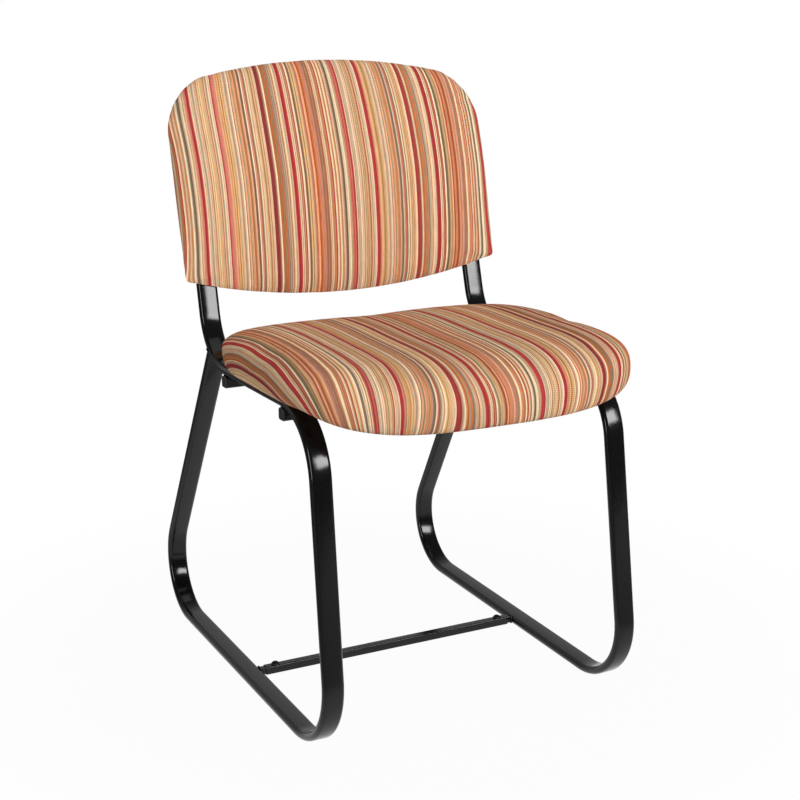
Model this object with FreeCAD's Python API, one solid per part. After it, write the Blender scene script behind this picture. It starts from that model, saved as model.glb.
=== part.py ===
import FreeCAD, Part
import math
import os
from functools import lru_cache

from FreeCAD import Placement, Rotation, Vector

# Sled base visitor chair, in millimetres. +Z is up, the sitter faces -Y and
# the sitter's right is at -X. The origin is on the floor, in the middle of the
# chair's own box.

# Frame tube, a flat-sided oval with fully rounded narrow sides
tube_width = 30.0
tube_thickness = 12.0
tube_wall = 1.5

# Side frame: corner points of its centreline in the YZ plane, before bending,
# and a point that the rear leg's centreline aims at, near the rear seat corner
seat_corner_rear_y = 124.7
seat_corner_rear_z = 438.5
seat_corner_front_y = -229.8
seat_corner_front_z = 448.0
floor_corner_front_y = -293.3
floor_corner_rear_y = 371.7
rear_leg_aim_y = 126.2
rear_leg_aim_z = 434.0
back_angle = 15.2
post_length = 290.0
seat_bend_rear_radius = 88.0
seat_bend_front_radius = 93.0
floor_bend_front_radius = 92.0
floor_bend_rear_radius = 81.0

# Padded width of the seat, under which the side frames stand. They lean
# towards each other as they rise.
seat_width = 497.0
seat_overhang = 26.5
frame_lean = 0.75

# Floor glides, pressed into the underside of the runners
glide_height = 2.0
glide_diameter = 16.0
glide_stem_diameter = 5.0
glide_stem_length = 7.0
glide_inset = 28.0

# Seat cross rails, square tubes welded under the seat rails
cross_rail_size = 16.0
cross_rail_wall = 1.5
cross_rail_corner = 3.0
cross_rail_rear_from_corner = 73.0
cross_rail_front_from_corner = 276.0
end_cap_plate = 3.0
end_cap_stem = 12.0
end_cap_chamfer = 1.0
post_plug_plate = 2.5

# Floor crossbar, a square tube sleeved over a welded spigot at each runner
crossbar_size = 12.0
crossbar_wall = 1.2
crossbar_corner = 1.5
crossbar_y = 1.7
crossbar_lift = 2.5
crossbar_end_gap = 7.0
spigot_overlap = 32.0
crossbar_bolt_from_end = 16.0

# Metric fasteners
thread_diameter = 6.0
clearance_hole = 6.6
button_head_diameter = 10.5
button_head_height = 3.3
dome_head_diameter = 12.0
dome_head_height = 4.6
dome_bolt_length = 9.0
socket_width = 4.0
washer_diameter = 14.0
washer_thickness = 1.4
tee_nut_flange = 18.0
tee_nut_flange_thickness = 1.5
tee_nut_barrel = 8.0
tee_nut_length = 10.0
back_tee_nut_sink = 0.7
seat_bolt_length = 24.0
seat_bolt_rear_from_corner = 115.0
seat_bolt_front_from_corner = 235.0
back_bolt_length = 22.0
back_bolt_low = 150.0
back_bolt_high = 250.0

# Clearances
contact_gap = 0.05
fit_gap = 0.2
thread_gap = 0.1

# Seat cushion over its moulded board, sizes of the padding under the cover
cover_thickness = 1.5
seat_middle_from_corner = 271.0
seat_front_reach = 170.5
seat_rear_reach = 249.5
seat_front_fullness = 3.2
seat_rear_fullness = 4.8
seat_waist_height = 32.5
seat_waist_slope = 0.03
seat_front_drop = 58.0
seat_drop_from_corner = 186.0
seat_edge_height = 30.0
seat_crown = 2.5
seat_edge_fullness = 3.3
seat_front_lip = 7.0
seat_rear_tuck = 14.0
seat_front_tuck = 12.0
seat_side_fullness = 12.0
seat_side_sharpness = 0.4

# Seat board, moulded plywood with its front edge turned down
seat_board_thickness = 12.0
seat_board_inset = 14.0
seat_board_rear_corner = 82.0
seat_board_front_corner = 95.0
seat_board_front_from_corner = 412.0
seat_lip_from_corner = 365.0
seat_lip_radius = 60.0
seat_lip_angle = 45.0
seat_cover_turn_in = 18.0
underlining_thickness = 1.0
underlining_margin = 4.0

# Backrest, heights measured up the posts from the rear seat corner
back_narrower = 2.0
back_low_middle = 82.0
back_high_middle = 423.5
back_low_bow = 34.0
back_high_bow = 37.5
back_low_corner = 14.0
back_high_corner = 72.0
back_waist = 1.7
back_wrap = 8.0
back_wrap_at = 240.0
back_crown = 37.0
back_crown_fullness = 2.7
back_edge_slope = 2.0
back_board_thickness = 10.0
back_board_inset = 12.0
back_cover_turn_in = 16.0

# Back shell, a moulded cover behind the pad
shell_inset = 1.5
shell_wall = 2.5
shell_depth = 15.0
shell_wrap = 5.0
shell_edge_roll = 12.0
shell_post_gap = 1.0
shell_boss_diameter = 21.0
shell_recess_diameter = 16.0
shell_rib_thickness = 2.0
shell_rib_height = 5.0
shell_rib_count = 3
shell_side_fullness = 9.0
shell_side_sharpness = 0.35

# Stations of the padded forms across their half width
stations = (0.0, 0.25, 0.47, 0.65, 0.79, 0.89, 0.955, 0.99)

# Long enough to pass right through the chair, and depths that a form reaches
# past the face it is trimmed to
far = 400.0
cover_turn_down = 8.0
form_overrun = 8.0
edge_step = 1.0

# Worked out from the sizes above
frame_spacing_at_floor = seat_width - 2 * seat_overhang
back_width = seat_width - back_narrower
lean_sine = math.sin(math.radians(frame_lean))
flat_half = (tube_width - tube_thickness) / 2
tube_reach = tube_thickness / 2 + flat_half * lean_sine
rail_run = seat_corner_rear_y - seat_corner_front_y
rail_rise = seat_corner_front_z - seat_corner_rear_z
rail_slope = math.atan2(rail_rise, rail_run)
corner_point = Vector(0, seat_corner_rear_y, seat_corner_rear_z)
seat_place = Placement(corner_point, Rotation(Vector(1, 0, 0), -math.degrees(rail_slope)))
back_place = Placement(corner_point, Rotation(Vector(1, 0, 0), -back_angle))
board_low = tube_reach + contact_gap + cover_thickness
board_high = board_low + seat_board_thickness
back_board_rear = tube_thickness / 2 + fit_gap + cover_thickness


def frame_offset(height):
    """Distance of a side frame's centre from the middle of the chair at a height."""
    return frame_spacing_at_floor / 2 - height * lean_sine


def seat_point_height(from_corner, above):
    """Height over the floor of a point given along and above the seat rail."""
    return seat_place.multVec(Vector(0, -from_corner, above)).z


def back_point_height(along):
    """Height over the floor of a point on the post's centreline."""
    return back_place.multVec(Vector(0, 0, along)).z


def cylinder(radius, length, base, axis):
    """Solid cylinder from a base point along an axis."""
    return Part.makeCylinder(radius, length, base, axis)


def arc_edge(start, middle, end):
    """Edge of the circle arc through three points."""
    return Part.Arc(start, middle, end).toShape()


def line_edge(start, end):
    """Straight edge between two points."""
    return Part.LineSegment(start, end).toShape()


def oval_face(width, thickness):
    """Flat-sided oval in the XY plane, its width along X."""
    radius = thickness / 2
    half_flat = width / 2 - radius
    corners = [Vector(across, up, 0) for across, up in
               ((-half_flat, -radius), (half_flat, -radius), (half_flat, radius), (-half_flat, radius))]
    tips = [Vector(width / 2, 0, 0), Vector(-width / 2, 0, 0)]
    edges = [line_edge(corners[0], corners[1]), arc_edge(corners[1], tips[0], corners[2]),
             line_edge(corners[2], corners[3]), arc_edge(corners[3], tips[1], corners[0])]
    return Part.Face(Part.Wire(edges))


def rounded_wire(corners, radii):
    """Closed wire through flat corner points, each rounded to its radius."""
    starts, middles, ends = [], [], []
    count = len(corners)
    for index, corner in enumerate(corners):
        before = (corners[index - 1] - corner).normalize()
        after = (corners[(index + 1) % count] - corner).normalize()
        half = before.getAngle(after) / 2
        radius = radii[index]
        inward = (before + after).normalize()
        centre = corner + inward * (radius / math.sin(half))
        starts.append(corner + before * (radius / math.tan(half)))
        middles.append(centre - inward * radius)
        ends.append(corner + after * (radius / math.tan(half)))
    edges = []
    for index in range(count):
        edges.append(arc_edge(starts[index], middles[index], ends[index]))
        edges.append(line_edge(ends[index], starts[(index + 1) % count]))
    return Part.Wire(edges)


def rounded_bar(length, width, height, radius):
    """Bar along X, centred on the origin, with rounded long edges."""
    across, up = width / 2, height / 2
    corners = [Vector(-length / 2, a, b)
               for a, b in ((-across, -up), (across, -up), (across, up), (-across, up))]
    face = Part.Face(rounded_wire(corners, [radius] * 4))
    return face.extrude(Vector(length, 0, 0))


# Bent side frames

def frame_corners():
    """Corner points of the side frame's centreline, from post top to leg top."""
    floor_z = glide_height + tube_thickness / 2
    post_top = back_place.multVec(Vector(0, 0, post_length))
    return [post_top, corner_point,
            Vector(0, seat_corner_front_y, seat_corner_front_z),
            Vector(0, floor_corner_front_y, floor_z),
            Vector(0, floor_corner_rear_y, floor_z),
            Vector(0, rear_leg_aim_y, rear_leg_aim_z)]


def frame_path():
    """Runs and bends of the centreline: start, direction and how each goes on."""
    corners = frame_corners()
    radii = [seat_bend_rear_radius, seat_bend_front_radius,
             floor_bend_front_radius, floor_bend_rear_radius]
    pieces = []
    start = corners[0]
    for index, radius in enumerate(radii, start=1):
        ahead = (corners[index] - corners[index - 1]).normalize()
        onward = (corners[index + 1] - corners[index]).normalize()
        turn = ahead.getAngle(onward)
        setback = radius * math.tan(turn / 2)
        bend_start = corners[index] - ahead * setback
        side = 1 if ahead.cross(onward).x > 0 else -1
        centre = bend_start + Vector(0, -ahead.z, ahead.y) * (side * radius)
        pieces.append(("run", start, ahead, (bend_start - start).Length, None, None))
        pieces.append(("bend", bend_start, ahead, math.degrees(turn), centre, side))
        start = corners[index] + onward * setback
    last = (corners[-1] - start).normalize()
    seat_bend_centre = pieces[1][4]
    level = (seat_bend_centre - start).dot(last)
    aside = (seat_bend_centre - (start + last * level)).Length
    reach = level - math.sqrt(seat_bend_rear_radius ** 2 - aside ** 2)
    pieces.append(("run", start, last, reach, None, None))
    return pieces


def tube_stretch(pieces, width, thickness):
    """Solid oval bar along some pieces of the path."""
    solids = []
    for kind, start, ahead, amount, centre, side in pieces:
        section = oval_face(width, thickness)
        tilt = math.degrees(math.atan2(-ahead.y, ahead.z))
        section.Placement = Placement(start, Rotation(Vector(1, 0, 0), tilt))
        if kind == "run":
            solids.append(section.extrude(ahead * amount))
        else:
            solids.append(section.revolve(centre, Vector(side, 0, 0), amount))
    if len(solids) == 1:
        return solids[0]
    return solids[0].multiFuse(solids[1:]).removeSplitter()


def lean_over(shape, side):
    """Move a shape from the YZ plane onto the side frame at -X or +X."""
    leaning = shape.copy()
    leaning.rotate(Vector(0, 0, 0), Vector(0, 1, 0), -side * frame_lean)
    leaning.translate(Vector(side * frame_spacing_at_floor / 2, 0, 0))
    return leaning


@lru_cache(maxsize=None)
def frame_outside(side):
    """Outer form of the side frame at -X or +X, unhollowed."""
    return lean_over(tube_stretch(frame_path(), tube_width, tube_thickness), side)


def frame_tube(side):
    """One hollow side frame, its rear leg coped and welded under the seat bend."""
    path = frame_path()
    inner_width = tube_width - 2 * tube_wall
    inner_thickness = tube_thickness - 2 * tube_wall
    upper = tube_stretch(path[:3], tube_width, tube_thickness)
    main_bore = tube_stretch(path[:-1], inner_width, inner_thickness)
    leg_bore = tube_stretch(path[-1:], inner_width, inner_thickness).cut(upper)
    bores = Part.makeCompound([lean_over(main_bore, side), lean_over(leg_bore, side)])
    return frame_outside(side).cut(bores)


def seat_bolt_axes(side):
    """Where the two seat bolts of one side cross the seat rail's centreline."""
    points = []
    for from_corner in (seat_bolt_rear_from_corner, seat_bolt_front_from_corner):
        offset = side * frame_offset(seat_point_height(from_corner, 0))
        points.append(Vector(offset, -from_corner, 0))
    return points


def back_bolt_axes(side):
    """Where the two backrest bolts of one side cross the post's centreline."""
    points = []
    for along in (back_bolt_low, back_bolt_high):
        offset = side * frame_offset(back_point_height(along))
        points.append(Vector(offset, 0, along))
    return points


def glide_points(side):
    """Centres of the two glides of one runner, on the floor."""
    path = frame_path()
    runner_start = path[6][1]
    runner_length = path[6][3]
    points = []
    for along in (glide_inset, runner_length - glide_inset):
        offset = side * frame_offset(glide_height + tube_thickness / 2)
        points.append(Vector(offset, runner_start.y + along, 0))
    return points


def side_frame(side):
    """Side frame with its drilled holes, at -X for the sitter's right."""
    frame = frame_tube(side)
    drills = []
    for point in seat_bolt_axes(side):
        drill = cylinder(clearance_hole / 2, 2 * tube_thickness,
                         point - Vector(0, 0, tube_thickness), Vector(0, 0, 1))
        drill.Placement = seat_place.multiply(drill.Placement)
        drills.append(drill)
    for point in back_bolt_axes(side):
        drill = cylinder(clearance_hole / 2, 2 * tube_thickness,
                         point - Vector(0, tube_thickness, 0), Vector(0, 1, 0))
        drill.Placement = back_place.multiply(drill.Placement)
        drills.append(drill)
    for point in glide_points(side):
        drills.append(cylinder(glide_stem_diameter / 2 + fit_gap, tube_thickness / 2,
                               point, Vector(0, 0, 1)))
    return frame.cut(Part.makeCompound(drills))


def post_plug(side):
    """Push-in plug that closes the top of a post."""
    top = frame_corners()[0]
    inner_width = tube_width - 2 * (tube_wall + fit_gap)
    inner_thickness = tube_thickness - 2 * (tube_wall + fit_gap)
    head = oval_face(tube_width, tube_thickness).extrude(Vector(0, 0, post_plug_plate))
    stem = oval_face(inner_width, inner_thickness).extrude(Vector(0, 0, -end_cap_stem))
    hollow = oval_face(inner_width - 2 * tube_wall, inner_thickness - 2 * tube_wall)
    plug = head.fuse(stem).cut(hollow.extrude(Vector(0, 0, -end_cap_stem)))
    plug.Placement = Placement(top, Rotation(Vector(1, 0, 0), -back_angle))
    return lean_over(plug, side)


def floor_glide(side, point):
    """Nylon glide: a flat foot under the runner and a stem pressed into it."""
    foot = cylinder(glide_diameter / 2, glide_height + tube_thickness / 2, point, Vector(0, 0, 1))
    foot = foot.cut(frame_outside(side)).Solids[0]
    foot = foot.makeChamfer(0.5, [edge for edge in foot.Edges
                                  if edge.BoundBox.ZMax < 0.01])
    stem = cylinder(glide_stem_diameter / 2, glide_stem_length, point, Vector(0, 0, 1))
    return foot.fuse(stem).removeSplitter()


# Seat cross rails and floor crossbar

def cross_rail_reach():
    """Half length over the end caps, flush with the seat rails' outer sides."""
    height = seat_point_height(cross_rail_front_from_corner, -tube_thickness)
    return frame_offset(height) + tube_width / 2


def cross_rail(from_corner):
    """Square cross rail under both seat rails, coped where it meets a bend."""
    length = 2 * (cross_rail_reach() - end_cap_plate)
    inside = cross_rail_size - 2 * cross_rail_wall
    bar = rounded_bar(length, cross_rail_size, cross_rail_size, cross_rail_corner)
    bore = rounded_bar(length, inside, inside, cross_rail_corner - cross_rail_wall)
    rail = bar.cut(bore)
    drop = tube_reach + contact_gap + cross_rail_size / 2
    rail.translate(Vector(0, -from_corner, -drop))
    rail.Placement = seat_place.multiply(rail.Placement)
    for side in (-1, 1):
        rail = rail.cut(frame_outside(side))
    return rail.Solids[0]


def cross_rail_cap(from_corner, side):
    """Ribbed push-in cap in the end of a cross rail."""
    reach = cross_rail_reach()
    inside = cross_rail_size - 2 * (cross_rail_wall + fit_gap)
    plate = rounded_bar(end_cap_plate, cross_rail_size, cross_rail_size, cross_rail_corner)
    outer_edges = [edge for edge in plate.Edges if edge.BoundBox.XMin > end_cap_plate / 2 - 0.01]
    plate = plate.makeChamfer(end_cap_chamfer, outer_edges)
    stem = rounded_bar(end_cap_stem, inside, inside, cross_rail_corner - cross_rail_wall)
    stem.translate(Vector(-(end_cap_plate + end_cap_stem) / 2, 0, 0))
    hollow = rounded_bar(end_cap_stem, inside - 2 * cross_rail_wall,
                         inside - 2 * cross_rail_wall, 1.0)
    hollow.translate(Vector(-(end_cap_plate + end_cap_stem) / 2, 0, 0))
    cap = plate.fuse(stem).cut(hollow)
    if side < 0:
        cap.rotate(Vector(0, 0, 0), Vector(0, 0, 1), 180)
    drop = tube_reach + contact_gap + cross_rail_size / 2
    cap.translate(Vector(side * (reach - end_cap_plate / 2), -from_corner, -drop))
    cap.Placement = seat_place.multiply(cap.Placement)
    shaved = cap.cut(frame_outside(side))
    return shaved.Solids[0]


def crossbar_height():
    """Height of the crossbar's centreline."""
    return crossbar_lift + crossbar_size / 2


def crossbar_half_length():
    """From the middle of the chair to the crossbar's open end."""
    inner_side = frame_offset(crossbar_height()) - tube_width / 2
    return inner_side - crossbar_end_gap


def crossbar():
    """Square floor crossbar, open ended, drilled on top for its two bolts."""
    length = 2 * crossbar_half_length()
    inside = crossbar_size - 2 * crossbar_wall
    bar = rounded_bar(length, crossbar_size, crossbar_size, crossbar_corner)
    bore = rounded_bar(length, inside, inside, crossbar_corner - crossbar_wall)
    bar = bar.cut(bore)
    for side in (-1, 1):
        place = Vector(side * (length / 2 - crossbar_bolt_from_end), 0, 0)
        bar = bar.cut(cylinder(clearance_hole / 2, crossbar_size, place, Vector(0, 0, 1)))
    bar.translate(Vector(0, crossbar_y, crossbar_height()))
    return bar


def crossbar_spigot(side):
    """Solid square spigot, tapped for the bolt and welded to its runner."""
    inner_end = crossbar_half_length() - spigot_overlap
    outer_end = frame_offset(crossbar_height())
    length = outer_end - inner_end
    size = crossbar_size - 2 * (crossbar_wall + thread_gap)
    bar = rounded_bar(length, size, size, 0.5)
    bar.translate(Vector(side * (inner_end + length / 2), crossbar_y, crossbar_height()))
    bolt_x = side * (crossbar_half_length() - crossbar_bolt_from_end)
    base = Vector(bolt_x, crossbar_y, crossbar_height() - size)
    bar = bar.cut(cylinder(thread_diameter / 2 + thread_gap, 2 * size, base, Vector(0, 0, 1)))
    return bar.cut(frame_outside(side)).Solids[0]


def dome_bolt(side):
    """Dome-headed bolt on top of the crossbar."""
    bolt_x = side * (crossbar_half_length() - crossbar_bolt_from_end)
    seat = Vector(bolt_x, crossbar_y, crossbar_lift + crossbar_size + contact_gap)
    rim = 1.0
    radius = dome_head_diameter / 2
    rise = dome_head_height - rim
    ball = (radius ** 2 + rise ** 2) / (2 * rise)
    profile = [line_edge(Vector(0, 0, 0), Vector(radius, 0, 0)),
               line_edge(Vector(radius, 0, 0), Vector(radius, 0, rim))]
    half_turn = math.asin(radius / ball) / 2
    middle = Vector(ball * math.sin(half_turn), 0,
                    dome_head_height - ball + ball * math.cos(half_turn))
    top = Vector(0, 0, dome_head_height)
    profile.append(arc_edge(Vector(radius, 0, rim), middle, top))
    profile.append(line_edge(top, Vector(0, 0, 0)))
    head = Part.Face(Part.Wire(profile)).revolve(Vector(0, 0, 0), Vector(0, 0, 1), 360)
    shank = cylinder(thread_diameter / 2, dome_bolt_length, Vector(0, 0, 0), Vector(0, 0, -1))
    bolt = head.fuse(shank)
    bolt.translate(seat)
    return bolt


# Fasteners, each along +Z from the underside of its head at the origin

def button_bolt(length):
    """Socket button-head bolt with its shank along +Z and its head below."""
    radius = button_head_diameter / 2
    top_radius = radius * 0.6
    head = Part.makeCone(top_radius, radius, button_head_height * 0.7,
                         Vector(0, 0, -button_head_height), Vector(0, 0, 1))
    rim = cylinder(radius, button_head_height * 0.3,
                   Vector(0, 0, -button_head_height * 0.3), Vector(0, 0, 1))
    shank = cylinder(thread_diameter / 2, length, Vector(0, 0, 0), Vector(0, 0, 1))
    shank = shank.makeChamfer(0.8, [edge for edge in shank.Edges
                                    if edge.BoundBox.ZMin > length - 0.01])
    socket_radius = socket_width / math.sqrt(3)
    socket = Part.makePolygon([Vector(socket_radius * math.cos(math.radians(60 * k)),
                                      socket_radius * math.sin(math.radians(60 * k)),
                                      -button_head_height) for k in range(7)])
    socket = Part.Face(socket).extrude(Vector(0, 0, button_head_height * 0.6))
    return head.fuse(rim).fuse(shank).removeSplitter().cut(socket)


def washer():
    """Plain washer on the XY plane, its bore round the origin."""
    disc = cylinder(washer_diameter / 2, washer_thickness, Vector(0, 0, 0), Vector(0, 0, 1))
    return disc.cut(cylinder(clearance_hole / 2, washer_thickness, Vector(0, 0, 0),
                             Vector(0, 0, 1)))


def tee_nut():
    """Tee nut with its flange's outer face at the origin and its barrel along -Z."""
    flange = cylinder(tee_nut_flange / 2, tee_nut_flange_thickness,
                      Vector(0, 0, -tee_nut_flange_thickness), Vector(0, 0, 1))
    barrel = cylinder(tee_nut_barrel / 2, tee_nut_length, Vector(0, 0, 0), Vector(0, 0, -1))
    bore = cylinder(thread_diameter / 2 + thread_gap, tee_nut_length, Vector(0, 0, 0),
                    Vector(0, 0, -1))
    return flange.fuse(barrel).cut(bore)


def tee_nut_seat():
    """Drilling and counterbore that a tee nut drops into."""
    flange = cylinder(tee_nut_flange / 2 + fit_gap, far,
                      Vector(0, 0, -tee_nut_flange_thickness), Vector(0, 0, 1))
    barrel = cylinder(tee_nut_barrel / 2 + fit_gap, 2 * tee_nut_length, Vector(0, 0, 0),
                      Vector(0, 0, -1))
    return flange.fuse(barrel)


# Seat, in the frame of the seat rails: Y along the rail, Z above its centreline

def seat_edge(x, grow, rear):
    """Y of the seat's plan outline at a distance x from the middle."""
    across = min(1.0, abs(x) / (seat_width / 2 + grow))
    fullness = seat_rear_fullness if rear else seat_front_fullness
    reach = (seat_rear_reach if rear else -seat_front_reach) + (grow if rear else -grow)
    return -seat_middle_from_corner + reach * (1 - across ** fullness) ** (1 / fullness)


def seat_waist(y):
    """Height of the cushion's widest line."""
    from_middle = -seat_middle_from_corner - y
    full = seat_middle_from_corner + seat_front_reach - seat_drop_from_corner
    past = max(0.0, (-seat_drop_from_corner - y) / full)
    waist = board_low + seat_waist_height + seat_waist_slope * from_middle
    return waist - seat_front_drop * past ** 2


def seat_top(x, y, grow):
    """Height of the crowned top of the cushion."""
    rear = y > -seat_middle_from_corner
    fullness = seat_rear_fullness if rear else seat_front_fullness
    reach = (seat_rear_reach if rear else seat_front_reach) + grow
    across = abs(x) / (seat_width / 2 + grow)
    along = abs(y + seat_middle_from_corner) / reach
    radial = min(1.0, (across ** fullness + along ** fullness) ** (1 / fullness))
    rise = (1 - radial ** seat_edge_fullness) ** (1 / seat_edge_fullness)
    return seat_waist(y) + (seat_edge_height + grow) * rise + seat_crown * (1 - radial ** 2)


def seat_section(x, grow):
    """Closed side profile of the cushion at a distance x from the middle."""
    rear = seat_edge(x, grow, True)
    front = seat_edge(x, grow, False)
    length = rear - front
    across = abs(x) / (seat_width / 2 + grow)
    fullness = (1 - across ** seat_side_fullness) ** seat_side_sharpness

    def on_top(share):
        y = rear - share * length
        return Vector(x, y, seat_top(x, y, grow))

    rear_waist = Vector(x, rear, seat_waist(rear))
    front_waist = Vector(x, front, seat_waist(front))
    rear_fall = (rear_waist.z - board_low + cover_turn_down) * fullness + edge_step
    front_fall = (seat_front_lip + grow) * fullness + edge_step
    rear_low = rear_waist - Vector(0, seat_rear_tuck * fullness, rear_fall)
    front_low = front_waist - Vector(0, -seat_front_tuck * fullness, front_fall)
    rear_side = rear_waist - Vector(0, seat_rear_tuck * fullness * 0.3, rear_fall * 0.45)
    front_side = front_waist - Vector(0, -seat_front_tuck * fullness * 0.25, front_fall / 2)
    edges = [arc_edge(rear_waist, on_top(0.012), on_top(0.05)),
             arc_edge(on_top(0.05), on_top(0.25), on_top(0.5)),
             arc_edge(on_top(0.5), on_top(0.68), on_top(0.84)),
             arc_edge(on_top(0.84), on_top(0.95), front_waist),
             arc_edge(front_waist, front_side, front_low),
             line_edge(front_low, rear_low),
             arc_edge(rear_low, rear_side, rear_waist)]
    return Part.Wire(edges)


def lofted(section, half_width, grow):
    """Solid through a form's sections from one side to the other."""
    places = sorted({side * share for share in stations for side in (-1, 1)})
    wires = [section(place * (half_width + grow), grow) for place in places]
    return Part.makeLoft(wires, True, True)


def under_seat(grow):
    """Everything below the seat board's underside, to trim the padding flat."""
    low = board_low - grow
    turn = math.radians(seat_lip_angle)
    radius = seat_lip_radius - grow
    start = Vector(-far, -seat_lip_from_corner, low)
    middle = start + Vector(0, -radius * math.sin(turn / 2), -radius * (1 - math.cos(turn / 2)))
    end = start + Vector(0, -radius * math.sin(turn), -radius * (1 - math.cos(turn)))
    tail = end + Vector(0, -math.cos(turn), -math.sin(turn)) * 100
    rear = Vector(-far, far, low)
    deep_rear = Vector(-far, far, -far)
    deep_front = Vector(-far, tail.y, -far)
    edges = [arc_edge(start, middle, end), line_edge(end, tail), line_edge(tail, deep_front),
             line_edge(deep_front, deep_rear), line_edge(deep_rear, rear),
             line_edge(rear, start)]
    return Part.Face(Part.Wire(edges)).extrude(Vector(2 * far, 0, 0))


def seat_form(grow):
    """Board and padding together, or with the cover when grown by it."""
    return lofted(seat_section, seat_width / 2, grow).cut(under_seat(grow))


def board_outline(inset, front_from_corner):
    """Plan outline of the seat board, as a tall prism."""
    half = seat_width / 2 - seat_board_inset - inset
    rear = -seat_middle_from_corner + seat_rear_reach - seat_board_inset - inset
    front = -front_from_corner
    corners = [Vector(-half, front, -far), Vector(half, front, -far),
               Vector(half, rear, -far), Vector(-half, rear, -far)]
    radii = [seat_board_front_corner - inset] * 2 + [seat_board_rear_corner - inset] * 2
    return Part.Face(rounded_wire(corners, radii)).extrude(Vector(0, 0, 2 * far))


def seat_board_blank():
    """Moulded seat board before drilling."""
    turn = math.radians(seat_lip_angle)
    inner = seat_lip_radius
    outer = seat_lip_radius + seat_board_thickness
    centre = Vector(-far, -seat_lip_from_corner, board_low - inner)

    def at(radius, angle):
        return centre + Vector(0, -radius * math.sin(angle), radius * math.cos(angle))

    rear_low = Vector(-far, 0, board_low)
    rear_high = Vector(-far, 0, board_high)
    edges = [line_edge(rear_low, at(inner, 0)), arc_edge(at(inner, 0), at(inner, turn / 2),
                                                        at(inner, turn)),
             line_edge(at(inner, turn), at(outer, turn)),
             arc_edge(at(outer, turn), at(outer, turn / 2), at(outer, 0)),
             line_edge(at(outer, 0), rear_high), line_edge(rear_high, rear_low)]
    slab = Part.Face(Part.Wire(edges)).extrude(Vector(2 * far, 0, 0))
    return slab.common(board_outline(0, seat_board_front_from_corner))


def seat_drills(radius):
    """Upright cylinders on the four seat bolt axes."""
    drills = []
    for side in (-1, 1):
        for point in seat_bolt_axes(side):
            drills.append(cylinder(radius, far, point - Vector(0, 0, far / 2), Vector(0, 0, 1)))
    return Part.makeCompound(drills)


def seat_fastened(shape_maker, height):
    """Copies of a small part on the four seat bolt axes at a height."""
    copies = []
    for side in (-1, 1):
        for point in seat_bolt_axes(side):
            copy = shape_maker()
            copy.translate(Vector(point.x, point.y, height))
            copies.append(copy)
    return copies


def make_seat():
    """Seat parts by node name, placed on the seat rails."""
    blank = seat_board_blank()
    nut_seats = seat_fastened(tee_nut_seat, board_high)
    board = blank.cut(Part.makeCompound(nut_seats))
    padded = seat_form(0.0)
    foam = padded.cut(blank)
    covered = seat_form(cover_thickness)
    window_front = seat_lip_from_corner - seat_cover_turn_in / 2
    window = board_outline(seat_cover_turn_in, window_front)
    below = Part.makeBox(2 * far, 2 * far, far, Vector(-far, -far, board_low + 0.01 - far))
    cover = covered.cut(padded).cut(window.common(below))
    cover = cover.cut(seat_drills(tee_nut_barrel / 2).common(below))
    lining_half = frame_offset(seat_corner_rear_z) - tube_width / 2 - underlining_margin
    lining_front = -window_front + underlining_margin
    lining_rear = (-seat_middle_from_corner + seat_rear_reach - seat_board_inset
                   - seat_cover_turn_in - underlining_margin)
    corners = [Vector(-lining_half, lining_front, 0), Vector(lining_half, lining_front, 0),
               Vector(lining_half, lining_rear, 0), Vector(-lining_half, lining_rear, 0)]
    radius = seat_board_front_corner - seat_cover_turn_in - underlining_margin
    lining = Part.Face(rounded_wire(corners, [radius] * 4))
    lining = lining.extrude(Vector(0, 0, underlining_thickness))
    lining.translate(Vector(0, 0, board_low - underlining_thickness))
    under_rail = -(tube_reach + contact_gap)
    washers = seat_fastened(washer, under_rail - washer_thickness)
    bolts = seat_fastened(lambda: button_bolt(seat_bolt_length), under_rail - washer_thickness)
    parts = {
        "seat_board": [board.Solids[0]],
        "seat_foam": [max(foam.Solids, key=lambda solid: solid.Volume)],
        "seat_cover": [max(cover.Solids, key=lambda solid: solid.Volume)],
        "seat_underlining": [lining],
        "seat_tee_nuts": seat_fastened(tee_nut, board_high),
        "seat_washers": washers,
        "seat_bolts": bolts,
    }
    return {name: placed(shapes, seat_place) for name, shapes in parts.items()}


def placed(shapes, place):
    """Shapes moved from a local frame into the chair's frame."""
    moved = []
    for shape in shapes:
        copy = shape.copy()
        copy.Placement = place.multiply(copy.Placement)
        moved.append(copy)
    return moved


# Backrest, in the frame of the posts: Z up the post, -Y towards the sitter

def back_low(x, grow):
    """Height up the post of the backrest's lower edge."""
    half = back_width / 2 + grow
    across = abs(x) / half
    edge = back_low_middle + back_low_bow * across ** 2 - grow
    into = max(0.0, abs(x) - (half - back_low_corner))
    return edge + back_low_corner - math.sqrt(back_low_corner ** 2 - into ** 2)


def back_high(x, grow):
    """Height up the post of the backrest's upper edge."""
    half = back_width / 2 + grow
    across = abs(x) / half
    edge = back_high_middle - back_high_bow * across ** 2 + grow
    into = max(0.0, abs(x) - (half - back_high_corner))
    return edge - back_high_corner + math.sqrt(back_high_corner ** 2 - into ** 2)


def wrap_forward(x, amount):
    """How far the backrest curves forward at a distance x from the middle."""
    return amount * (x / back_wrap_at) ** 2


def back_front(x, z, grow):
    """Forward reach of the crowned front of the back pad."""
    middle = (back_low_middle + back_high_middle) / 2
    reach = back_high(x, grow) - middle if z > middle else middle - back_low(x, grow)
    across = abs(x) / (back_width / 2 + grow)
    along = min(1.0, abs(z - middle) / reach)
    rise = 1.0
    for share in (across, along):
        rise *= (1 - share ** back_crown_fullness) ** (1 / back_crown_fullness)
    return back_waist + wrap_forward(x, back_wrap) + (back_crown + grow) * rise


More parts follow.
